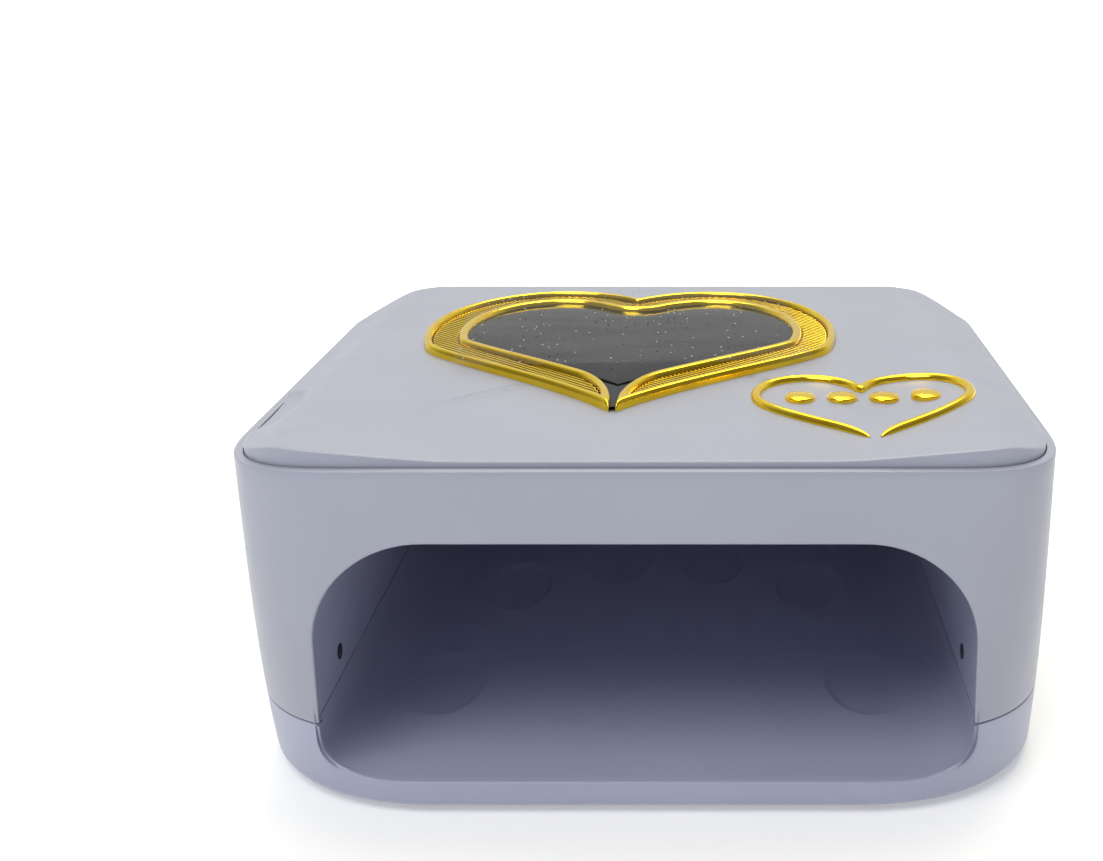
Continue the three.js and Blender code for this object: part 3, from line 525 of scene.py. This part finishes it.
def tray_deck():
    """The tray's flat rim, with a recess over each magnet."""
    holes = holes_at(MAGNET_X, MAGNET_YS, MAGNET_HOLE, -3.2)
    return flat_face("tray_deck", rim_plan(0.8), SEAM_Z - SEAM_HALF - 0.05, holes)


def liner_deck():
    """The flat underside of the lamp's walls, with a recess under each magnet and screw."""
    holes = holes_at(MAGNET_X, MAGNET_YS, MAGNET_HOLE, 3) + holes_at(SCREW_X, SCREW_YS, SCREW_HOLE, 2)
    return flat_face("liner_deck", rim_plan(WALL + 0.2), SEAM_Z + 0.3, holes)


def ceiling_at(y):
    """Height of the tunnel's ceiling, which slopes down towards the back."""
    return OPENING_TOP + 1 - TUNNEL_DROP * (y - FRONT) / (TUNNEL_BACK - FRONT)


def arch(y, half, bottom):
    """The tunnel's cross-section above the seam, from the right foot over to the left foot."""
    top = ceiling_at(y)
    right = [(half, z) for z in np.linspace(bottom, top - OPENING_CORNER, 8)]
    for angle in np.linspace(0, math.pi / 2, 20)[1:]:
        right.append((half - OPENING_CORNER + OPENING_CORNER * math.cos(angle),
                      top - OPENING_CORNER + OPENING_CORNER * math.sin(angle)))
    right += [(x, top) for x in np.linspace(half - OPENING_CORNER, 0, 12)[1:]]
    return mirrored(right, y)


def liner():
    """The tunnel's walls and ceiling above the seam, closed off by a gently curved back."""
    bottom = SEAM_Z + 0.3
    straight = np.linspace(FRONT + MOUTH_DEPTH, TUNNEL_BACK - TUNNEL_CORNER, 24)
    stations = [(y, TUNNEL_HALF) for y in straight] + tunnel_corner(14)[1:]
    rows = [arch(y, half, bottom) for y, half in stations]
    last = np.array(rows[-1])
    centre = np.array([0, TUNNEL_BACK, bottom])
    for t in (0.08, 0.3, 0.6, 1.0):
        rows.append(centre + (last - centre) * (1 - t) + (0, 1.2 * math.sqrt(t), 0))
    return settle(make_mesh("tunnel_skin", [np.array(rows)]), 40)


# ---------- lid ----------
SCOOP_X, SCOOP_Y, SCOOP_WIDE, SCOOP_LONG, SCOOP_DEEP = -110.5, FRONT + 47, 7.5, 19.0, 1.7


# The dish is deepest within the flat distance each side of the middle, and gone at its end.
DISH_FLAT_FRONT, DISH_FLAT_BACK, DISH_WIDENS_OVER, DISH_END = 48.0, 72.0, 45.0, 100.0
DISH_STARTS, DISH_FADES_OVER = 4.0, 165.0


def lid_height(x, y):
    """Height of the lid's face above the housing rim, before the scoop."""
    crown = LID_FRONT + (LID_BACK - LID_FRONT) * (y - FRONT) / DEPTH
    widened = smooth((y - FRONT) / DISH_WIDENS_OVER)
    flat = DISH_FLAT_FRONT + (DISH_FLAT_BACK - DISH_FLAT_FRONT) * widened
    dish_across = 1 - smooth((abs(x) - flat) / (DISH_END - flat))
    dish_along = 1 - smooth((y - FRONT - DISH_STARTS) / DISH_FADES_OVER)
    roll_side = 1 - smooth((WIDTH / 2 - abs(x) - 2) / SHOULDER_SIDE)
    roll_back = 1 - smooth((-FRONT - y - 2) / SHOULDER_BACK)
    roll = 1 - (1 - roll_side) * (1 - roll_back)
    return float(crown - DISH * dish_across * dish_along - (crown - LID_EDGE) * roll)


def scoop_depth(x, y):
    reach = math.hypot((x - SCOOP_X) / SCOOP_WIDE, (y - SCOOP_Y) / SCOOP_LONG)
    return SCOOP_DEEP * math.sqrt(max(0.0, 1 - reach ** 2))


def lid_z(x, y):
    return RIM_Z + lid_height(x, y)


def lid():
    """The dished lid: a skirt that stands on the ledge, a small round edge and the shaped face."""
    edge = 0.9
    rows = [outline(RIM_Z, LID_INSET, RIM_Z - 4)]
    for angle in QUARTER:
        ring = outline(RIM_Z, LID_INSET + edge * (1 - math.cos(angle)))
        for p in ring:
            p[2] = lid_z(p[0], p[1]) - edge * (1 - math.sin(angle)) * 0.6 - scoop_depth(p[0], p[1])
        rows.append(ring)
    face_from = len(rows)
    for inset in np.concatenate([np.arange(1.6, 20, 0.9), np.arange(20, 32, 2.5)]):
        rows.append(outline(RIM_Z, LID_INSET + inset))
    last = rows[-1]
    for share in np.linspace(1, 0, 22)[1:]:
        rows.append(last * (share, share, 1))
    for ring in rows[face_from:]:
        for p in ring:
            p[2] = lid_z(p[0], p[1]) - scoop_depth(p[0], p[1])
    return settle(make_mesh("lid_skin", [np.array(rows)]), 50)


# ---------- big heart ----------
HEART_LOW = lid_z(HEART_X, HEART_TIP)
HEART_HIGH = lid_z(HEART_X, HEART_TIP + HEART_LENGTH)
HEART_SLOPE = (HEART_HIGH - HEART_LOW) / HEART_LENGTH


def heart_side():
    """The heart's right side from the tip to the notch as points, and the directions facing out."""
    def on_lobe(angle):
        return np.array([LOBE_X + LOBE_HALF_WIDTH * math.cos(angle),
                         LOBE_Y + LOBE_HALF_LENGTH * math.sin(angle)])

    bend, second_bend = np.array(SIDE_BENDS)
    side = bezier(np.zeros(2), bend, second_bend, on_lobe(LOBE_FROM), 300)
    notch = math.acos(-LOBE_X / LOBE_HALF_WIDTH)
    lobe = [on_lobe(a) for a in np.linspace(LOBE_FROM, notch, 400)[1:]]
    points = np.array(side + lobe)
    along = np.gradient(points, axis=0)
    out = np.stack([along[:, 1], -along[:, 0]], axis=1)
    return points, out / np.linalg.norm(out, axis=1, keepdims=True)


HEART_SIDE, HEART_OUT = heart_side()


def heart_half(inset, start_x, steps=420):
    """The heart's right half drawn in by inset, evenly spaced from x = start_x up to the notch."""
    moved = HEART_SIDE - HEART_OUT * inset
    if inset > 0:
        nearest = np.min(np.linalg.norm(moved[:, None] - HEART_SIDE[None, ::4], axis=2), axis=1)
        moved = moved[nearest > inset - 0.02]
    fan_from = math.atan2(-HEART_OUT[-1][1], -HEART_OUT[-1][0])
    fan = [HEART_SIDE[-1] + inset * np.array([math.cos(a), math.sin(a)])
           for a in np.linspace(fan_from, -math.pi / 2, 12)[1:]]
    path = np.concatenate([moved, np.array(fan)]) if inset > 0 else moved
    first = int(np.argmax(path[:, 0] > start_x))
    if first > 0:
        before, after = path[first - 1], path[first]
        share = (start_x - before[0]) / (after[0] - before[0])
        path = np.concatenate([[before + (after - before) * share], path[first:]])
    else:
        path = np.concatenate([[(start_x, path[0][1] + inset * 1.2)], path])
    return spread(path, steps)


def on_heart_plane(x, y, height, *marks):
    """A point of the heart, turned and placed on the lid, at that height over the heart's plane."""
    across = x * math.cos(HEART_TURN) - y * math.sin(HEART_TURN)
    along = x * math.sin(HEART_TURN) + y * math.cos(HEART_TURN)
    return (HEART_X + across, HEART_TIP + along, HEART_LOW + HEART_SLOPE * y + height, *marks)


RIM_OUT, RIM_IN, RIM_TALL = 2.8, 3.4, 1.6
GOLD_BASE = 1.75              # the gold's floor stands this high over the lid
FUNNEL = 12.0                 # the inner rim rounds into the slot over this distance
GROOVE_PITCH, GROOVE_DEEP, GROOVE_TURN = 1.6, 0.35, math.radians(-41)
STEP_DEEP = 0.6               # depth of the fine line where the rims meet the grooved channel
WINDOW_LEVEL = 1.9
FILM_LEVEL, FILM_THICK = 3.75, 0.15
FILM_CORNERS = ((-54.0, 35.3), (62.0, 43.5), (53.5, 136.0), (-62.5, 128.0))


def soft_least(a, b, width):
    """The smaller of two distances, rounded off where they are nearly equal."""
    mix = np.clip(0.5 + 0.5 * (b - a) / width, 0, 1)
    return b + (a - b) * mix - width * mix * (1 - mix)


def from_window(x, y, inset):
    """How far a point of the gold is from the window or the slot; below 0 it is in the funnel."""
    a = BAND - inset
    b = abs(x) - SLOT / 2 if y < 60 else BAND
    if a < FUNNEL and b < FUNNEL:
        return FUNNEL - math.hypot(FUNNEL - a, FUNNEL - b)
    return min(a, b)


def bezel_profile(x, y, inset):
    """Height of the gold face and how much painted shade it gets, most deep in the valleys: rims round a
    grooved channel.
    """
    edge = from_window(x, y, inset)
    if edge < -0.05:
        # in the funnel: sunk, and given full painted shade
        return -0.4, 1.0
    near = float(soft_least(inset / RIM_OUT, edge / RIM_IN, 0.3))
    rim = RIM_TALL * math.sqrt(max(0.0, 1 - abs(2 * near - 1) ** 2.6)) if 0 < near < 1 else 0.0
    inside = float(smooth((near - 1.04) / 0.12))
    across = -x * math.sin(GROOVE_TURN) + y * math.cos(GROOVE_TURN)
    valley = (0.5 + 0.5 * math.cos(2 * math.pi * across / GROOVE_PITCH)) ** 1.3 * inside
    step = math.exp(-((near - 1.03) / 0.06) ** 2)
    height = GOLD_BASE + rim - GROOVE_DEEP * valley - STEP_DEEP * step
    # the mark paints shade and dark reflection into the valleys and along the step line
    return height, max(float(smooth((valley - 0.25) / 0.5)), step)


def bezel():
    """The gold heart as two mirror-wise halves that face each other across the slot."""
    insets = np.concatenate([np.linspace(0, RIM_OUT, 11), np.linspace(RIM_OUT, BAND - RIM_IN, 42)[1:],
                             np.linspace(BAND - RIM_IN, BAND, 13)[1:]])
    grids = []
    for side in (1, -1):
        rows = []
        for inset in insets:
            row = []
            for x, y in heart_half(inset, SLOT / 2, 1300):
                height, painted_shade = bezel_profile(side * x, y, inset)
                row.append(on_heart_plane(side * x, y, height, painted_shade))
            rows.append(row)
        foot = [[(p[0], p[1], p[2] - drop, 0) for p in rows[0]] for drop in (GOLD_BASE + 0.8, 0.0)]
        inner = [[(p[0], p[1], p[2] - drop, 0) for p in rows[-1]] for drop in (0.0, GOLD_BASE + 0.8)]
        slot_side = [row[0] for row in rows]
        # the slot's walls fade to full painted shade at their foot
        wall = [slot_side, [(p[0], p[1], p[2] - 2.5, 1) for p in slot_side]]
        grids += [np.array(foot), np.array(rows), np.array(inner), np.array(wall)]
    return settle(make_mesh("bezel_skin", grids, 0.004), 70)


def window():
    """The dark window and the narrow tail that runs down the slot to the tip."""
    right = heart_half(BAND - 0.1, 0.0, 140)
    outline_points = closed(np.concatenate([right, right[-2:0:-1] * (-1, 1)]))
    centre = np.array([0.0, LOBE_Y - 8])
    rows = []
    for share, drop in ((1, 1.2), (1, 0.12), (0.997, 0.03), (0.99, 0), (0.6, 0), (0.3, 0), (0, 0)):
        ring = centre + (outline_points - centre) * share
        rows.append([on_heart_plane(x, y, WINDOW_LEVEL - drop) for x, y in ring])
    tail = []
    for x in np.linspace(-1, 1, 9):
        column = []
        for t in np.linspace(0, 1, 24):
            half = SLOT / 2 + 0.1 + 8 * t ** 2
            column.append(on_heart_plane(x * half, 2.4 + 27 * t, WINDOW_LEVEL - 0.45 - 0.3 * x * x))
        tail.append(column)
    return settle(make_mesh("window_skin", [np.array(rows), np.array(tail)]), 40)


def film():
    """Clear film over the display, cut square, laid a little askew and faintly rippled."""
    near_left, near_right, far_right, far_left = np.array(FILM_CORNERS)
    rows = []
    for v in np.linspace(0, 1, 60):
        row = []
        for u in np.linspace(0, 1, 70):
            low = near_left + (near_right - near_left) * u
            high = far_left + (far_right - far_left) * u
            x, y = low + (high - low) * v
            row.append(on_heart_plane(x, y, FILM_LEVEL + 0.12 * math.sin(x / 9 + y / 23)))
        rows.append(row)
    return thicken(make_mesh("film_skin", [np.array(rows)]), FILM_THICK, 0.04, 1)


# ---------- small heart and buttons ----------
def small_heart_path():
    """The open heart's middle line on the lid, from its right tip round to its left one."""
    def on_lobe(angle):
        return np.array([SMALL_LOBE_X + SMALL_LOBE * math.cos(angle),
                         SMALL_LOBE_Y + SMALL_LOBE * math.sin(angle)])

    hip = on_lobe(SMALL_HIP)
    arm = bezier(np.array(SMALL_ARM_TIP), np.array(SMALL_ARM_BEND), hip - SMALL_HIP_BEND, hip, 40)
    notch = math.pi - math.acos(SMALL_LOBE_X / SMALL_LOBE)
    lobe = [on_lobe(angle) for angle in np.linspace(SMALL_HIP, notch, 70)[1:]]
    right = np.array(arm + lobe)
    left = right[-2::-1] * (-1, 1)
    flat = np.concatenate([right, left]) + (SMALL_X, SMALL_TIP)
    return np.array([(x, y, lid_z(x, y)) for x, y in flat])


def small_heart():
    """A half-round bar swept along the open heart; its two ends taper to points."""
    path = small_heart_path()
    rows = []
    for i, point in enumerate(path):
        along = path[min(i + 1, len(path) - 1)] - path[max(i - 1, 0)]
        along[2] = 0
        along /= np.linalg.norm(along)
        across = np.array([along[1], -along[0], 0])
        end = min(i, len(path) - 1 - i)
        size = math.sin(math.pi / 2 * min(1, (end + 0.4) / 14)) ** 0.6
        half = across * (ROD / 2 * size)
        row = [point - half - (0, 0, 0.8)]
        for angle in np.linspace(math.pi, 0, 13):
            row.append(point + half * math.cos(angle) + (0, 0, 0.15 + 1.75 * size * math.sin(angle)))
        row.append(point + half - (0, 0, 0.8))
        rows.append(row)
    return settle(make_mesh("small_heart_skin", [np.array(rows)]), 50)


def button(index):
    """A round button: a short straight side, a rounded edge and a slightly crowned face."""
    x = SMALL_X + (index - 1.5) * BUTTON_PITCH
    lid_level = lid_z(x, BUTTON_Y)
    profile = [(BUTTON_RADIUS, -1.2), (BUTTON_RADIUS, 0.7)]
    for angle in np.linspace(0, math.pi / 2, 6)[1:]:
        profile.append((BUTTON_RADIUS - 0.55 * (1 - math.cos(angle)), 0.7 + 0.55 * math.sin(angle)))
    profile += [(BUTTON_RADIUS - 1.1, 1.42), (BUTTON_RADIUS - 1.7, 1.6), (BUTTON_RADIUS - 2.4, 1.68)]
    profile += [(1.0, 1.72), (0.0, 1.73)]
    turns = np.linspace(0, 2 * math.pi, 49)
    rows = [[(x + radius * math.cos(a), BUTTON_Y + radius * math.sin(a), lid_level + height) for a in turns]
            for radius, height in profile]
    return settle(make_mesh(f"button_skin_{index + 1}", [np.array(rows)]), 60)


# ---------- materials ----------
def shader(name, color, roughness, metallic=0.0, **sockets):
    """A new material and its shader node; sockets are further inputs, with _ for a space."""
    material = bpy.data.materials.new(name)
    material.use_nodes = True
    principled = material.node_tree.nodes["Principled BSDF"]
    principled.inputs["Base Color"].default_value = (*color, 1)
    principled.inputs["Roughness"].default_value = roughness
    principled.inputs["Metallic"].default_value = metallic
    for key, value in sockets.items():
        principled.inputs[key.replace("_", " ")].default_value = value
    return material, principled


def add_noise(material, scale, detail=4.0, stretch=(1, 1, 1)):
    """A noise over the object's own coordinates, in 1/m, and the socket that gives its value."""
    nodes, links = material.node_tree.nodes, material.node_tree.links
    coordinates = nodes.new("ShaderNodeTexCoord")
    mapping = nodes.new("ShaderNodeMapping")
    mapping.inputs["Scale"].default_value = stretch
    noise = nodes.new("ShaderNodeTexNoise")
    noise.inputs["Scale"].default_value = scale
    noise.inputs["Detail"].default_value = detail
    links.new(coordinates.outputs["Object"], mapping.inputs["Vector"])
    links.new(mapping.outputs["Vector"], noise.inputs["Vector"])
    return noise.outputs["Fac"]


def vary(material, principled, socket, source, low, high):
    """Drives a number on the shader from a noise, between low and high."""
    nodes, links = material.node_tree.nodes, material.node_tree.links
    spread = nodes.new("ShaderNodeMapRange")
    spread.inputs["From Min"].default_value = 0.3
    spread.inputs["From Max"].default_value = 0.7
    spread.inputs["To Min"].default_value = low
    spread.inputs["To Max"].default_value = high
    links.new(source, spread.inputs["Value"])
    links.new(spread.outputs["Result"], principled.inputs[socket])


def vary_color(material, principled, source, dark, light):
    """Drives the base colour from a noise, between dark and light."""
    nodes, links = material.node_tree.nodes, material.node_tree.links
    ramp = nodes.new("ShaderNodeValToRGB")
    ramp.color_ramp.elements[0].position = 0.35
    ramp.color_ramp.elements[0].color = (*dark, 1)
    ramp.color_ramp.elements[1].position = 0.65
    ramp.color_ramp.elements[1].color = (*light, 1)
    links.new(source, ramp.inputs["Fac"])
    links.new(ramp.outputs["Color"], principled.inputs["Base Color"])


def roughen(material, principled, source, distance, strength=1.0):
    """A fine relief, distance in millimetres."""
    nodes, links = material.node_tree.nodes, material.node_tree.links
    bump = nodes.new("ShaderNodeBump")
    bump.inputs["Distance"].default_value = distance / 1000
    bump.inputs["Strength"].default_value = strength
    links.new(source, bump.inputs["Height"])
    links.new(bump.outputs["Normal"], principled.inputs["Normal"])


def plastic(name, color, roughness, uneven=0.015, grain=0.02, **sockets):
    """Moulded plastic: a faintly uneven tone and gloss, and a fine grain in millimetres."""
    material, principled = shader(name, color, roughness, **sockets)
    dark, light = ([c * (1 + change) for c in color] for change in (-uneven, uneven))
    vary_color(material, principled, add_noise(material, 18, 3), dark, light)
    vary(material, principled, "Roughness", add_noise(material, 60, 5), roughness - 0.05, roughness + 0.05)
    roughen(material, principled, add_noise(material, 2600, 2), grain, 0.6)
    return material


def gold():
    """Bright gold plating, darker with painted shade down in the grooves and the other places that a mesh
    marks.
    """
    material, principled = shader("gold_plating", (1.0, 0.68, 0.04), 0.15, 1.0)
    vary_color(material, principled, add_noise(material, 90, 4), (0.96, 0.62, 0.03), (1.0, 0.72, 0.055))
    nodes, links = material.node_tree.nodes, material.node_tree.links
    plating = principled.inputs["Base Color"].links[0].from_socket
    painted_shade = nodes.new("ShaderNodeAttribute")
    painted_shade.attribute_name = MARK
    # painted shade: the mark mixes the plating towards near black
    shade = nodes.new("ShaderNodeMix")
    shade.data_type = "RGBA"
    links.new(painted_shade.outputs["Fac"], shade.inputs["Factor"])
    links.new(plating, shade.inputs["A"])
    shade.inputs["B"].default_value = (0.045, 0.025, 0.004, 1)
    links.new(shade.outputs["Result"], principled.inputs["Base Color"])
    vary(material, principled, "Roughness", add_noise(material, 140, 5), 0.14, 0.24)
    roughen(material, principled, add_noise(material, 500, 3), 0.012)
    return material


def add_specks(material, density, radius, share):
    """White dust: 1 inside small round specks, spread over a share of the cells of a random lattice."""
    nodes, links = material.node_tree.nodes, material.node_tree.links
    coordinates = nodes.new("ShaderNodeTexCoord")
    cells = nodes.new("ShaderNodeTexVoronoi")
    cells.inputs["Scale"].default_value = density
    links.new(coordinates.outputs["Object"], cells.inputs["Vector"])
    inside = nodes.new("ShaderNodeMath")
    inside.operation = "LESS_THAN"
    inside.inputs[1].default_value = radius * density
    links.new(cells.outputs["Distance"], inside.inputs[0])
    split = nodes.new("ShaderNodeSeparateColor")
    links.new(cells.outputs["Color"], split.inputs["Color"])
    chosen = nodes.new("ShaderNodeMath")
    chosen.operation = "LESS_THAN"
    chosen.inputs[1].default_value = share
    links.new(split.outputs["Red"], chosen.inputs[0])
    both = nodes.new("ShaderNodeMath")
    both.operation = "MULTIPLY"
    links.new(inside.outputs["Value"], both.inputs[0])
    links.new(chosen.outputs["Value"], both.inputs[1])
    return both.outputs["Value"]


def clear_film():
    """Clear film with faint scuffs and scattered white dust."""
    material, principled = shader("clear_film", (0.45, 0.45, 0.43), 0.2, Specular_IOR_Level=0.1)
    nodes, links = material.node_tree.nodes, material.node_tree.links
    vary(material, principled, "Alpha", add_noise(material, 70, 6, (0.35, 2.2, 1)), 0.015, 0.045)
    scuffs = principled.inputs["Alpha"].links[0].from_socket
    opaque = nodes.new("ShaderNodeMath")
    opaque.operation = "MAXIMUM"
    links.new(scuffs, opaque.inputs[0])
    links.new(add_specks(material, 420, 0.00036, 0.2), opaque.inputs[1])
    links.new(opaque.outputs["Value"], principled.inputs["Alpha"])
    roughen(material, principled, add_noise(material, 45, 3), 0.12)
    return material


shell_look = plastic("shell_plastic", (0.332, 0.346, 0.436), 0.36)
tray_look = plastic("tray_plastic", (0.383, 0.403, 0.535), 0.38)
# the tunnel is the same plastic as the shell; this lighter, bluer copy paints in how its shaded inside
# looks
tunnel_painted_shade_look = plastic("tunnel_plastic", (0.40, 0.42, 0.56), 0.40)
gold_look = gold()
window_look = plastic("smoked_window", (0.012, 0.012, 0.013), 0.08, 0.1, 0.003, Specular_IOR_Level=0.12)
film_look = clear_film()
plain_looks = {
    "circuit_board": plastic("circuit_board", (0.02, 0.12, 0.05), 0.45, 0.2),
    "led_lens": plastic("led_lens", (0.75, 0.72, 0.85), 0.12),
    "sensor_black": plastic("sensor_black", (0.012, 0.010, 0.014), 0.15),
    "black_plastic": plastic("black_plastic", (0.02, 0.02, 0.022), 0.5),
    "cell_wrap": plastic("cell_wrap", (0.03, 0.15, 0.40), 0.3),
    "lead_pvc": plastic("lead_pvc", (0.015, 0.015, 0.015), 0.45),
    "steel": shader("steel", (0.62, 0.63, 0.65), 0.3, 1.0)[0],
    "foot_rubber": plastic("foot_rubber", (0.045, 0.045, 0.047), 0.8),
    "tray_plate_plastic": plastic("tray_plate_plastic", (0.38, 0.39, 0.44), 0.45),
    "shell_plastic": shell_look,
    "tunnel_plastic": tunnel_painted_shade_look,
    "gold_plating": gold_look,
    "smoked_window": window_look,
    "clear_film": film_look,
}


def dress_cad_nodes():
    """Gives the CAD's own nodes, such as the boards inside, the look that the record names."""
    for entry in frame["record"]["subparts"]:
        node = frame["nodes"][entry["node"]]
        node.data.materials.clear()
        node.data.materials.append(plain_looks[entry["material_slot"]])


# ---------- light, floor and camera ----------
def world_light():
    """Soft light all round, brighter behind the lamp, as in front of a lit backdrop."""
    world = bpy.data.worlds.new("studio")
    bpy.context.scene.world = world
    world.use_nodes = True
    nodes, links = world.node_tree.nodes, world.node_tree.links
    coordinates = nodes.new("ShaderNodeTexCoord")
    split = nodes.new("ShaderNodeSeparateXYZ")
    links.new(coordinates.outputs["Generated"], split.inputs["Vector"])
    spread = nodes.new("ShaderNodeMapRange")
    spread.interpolation_type = "SMOOTHSTEP"
    spread.inputs["From Min"].default_value = -0.1
    spread.inputs["From Max"].default_value = 0.7
    spread.inputs["To Min"].default_value = 0.2
    spread.inputs["To Max"].default_value = 0.75
    links.new(split.outputs["Y"], spread.inputs["Value"])
    background = nodes["Background"]
    background.inputs["Color"].default_value = (0.95, 0.97, 1.0, 1)
    links.new(spread.outputs["Result"], background.inputs["Strength"])


def panel_light(name, toward, distance, size, power, color):
    """A square light of that size in metres, out along a direction and aimed at the lamp."""
    light = bpy.data.lights.new(name, "AREA")
    light.shape = "SQUARE"
    light.size = size
    light.energy = power
    light.color = color
    obj = bpy.data.objects.new(name, light)
    bpy.context.scene.collection.objects.link(obj)
    direction = Vector(toward).normalized()
    obj.location = direction * distance + Vector((0, 0, 0.06))
    obj.rotation_euler = direction.to_track_quat("Z", "Y").to_euler()


def studio():
    world_light()
    panel_light("key", (-0.5, -1.0, 1.8), 1.6, 0.9, 14, (1.0, 1.0, 0.97))
    panel_light("overhead", (0.1, 0.35, 1.0), 1.5, 1.2, 17, (1.0, 0.965, 0.74))


def floor():
    """A pale floor that glows more with distance, so that it stays even up to the horizon."""
    bm = bmesh.new()
    bmesh.ops.create_grid(bm, x_segments=4, y_segments=4, size=30)
    mesh = bpy.data.meshes.new("floor")
    bm.to_mesh(mesh)
    bm.free()
    obj = link("floor", mesh)
    material, principled = shader("floor_paper", (0.78, 0.78, 0.79), 0.6)
    principled.inputs["Emission Color"].default_value = (1, 1, 1, 1)
    nodes, links = material.node_tree.nodes, material.node_tree.links
    coordinates = nodes.new("ShaderNodeTexCoord")
    distance = nodes.new("ShaderNodeVectorMath")
    distance.operation = "LENGTH"
    links.new(coordinates.outputs["Object"], distance.inputs[0])
    glow = nodes.new("ShaderNodeMapRange")
    glow.inputs["From Min"].default_value = 0.12
    glow.inputs["From Max"].default_value = 1.0
    glow.inputs["To Min"].default_value = 0.3
    glow.inputs["To Max"].default_value = 0.95
    links.new(distance.outputs["Value"], glow.inputs["Value"])
    links.new(glow.outputs["Result"], principled.inputs["Emission Strength"])
    vary(material, principled, "Roughness", add_noise(material, 40), 0.55, 0.65)
    obj.data.materials.append(material)


def camera():
    """A camera in front of the mouth, looking a little down on the lid."""
    data = bpy.data.cameras.new("camera")
    data.sensor_width = 36
    data.lens = 44.72
    data.shift_x = -0.1455
    data.clip_start = 0.01
    obj = bpy.data.objects.new("camera", data)
    obj.location = (0.0185, -0.4431, 0.2298)
    obj.rotation_euler = (math.radians(90 - 18.485), 0, 0)
    bpy.context.scene.collection.objects.link(obj)
    bpy.context.scene.camera = obj


# ---------- assembly ----------
dress_cad_nodes()
dress(housing(), shell_look, "lamp", "main_housing")
dress(lid(), shell_look, "lamp", "top_cover")
dress(tray_shell(), tray_look, "tray", "base_tray")
dress(tub(), tray_look, "tray")
dress(tray_deck(), tray_look, "tray")
dress(liner(), tunnel_painted_shade_look, "lamp", "tunnel_liner")
dress(liner_deck(), tunnel_painted_shade_look, "lamp")
dress(bezel(), gold_look, "lamp", "heart_bezel")
dress(window(), window_look, "lamp", "heart_display_window")
dress(film(), film_look, "lamp", "display_protective_film")
dress(small_heart(), gold_look, "lamp", "button_frame_heart")
for index, node in enumerate(("button_30s", "button_60s", "button_90s", "button_120s")):
    dress(button(index), gold_look, node + "_cap", node)
studio()
floor()
camera()
bpy.context.scene.view_settings.view_transform = "Standard"
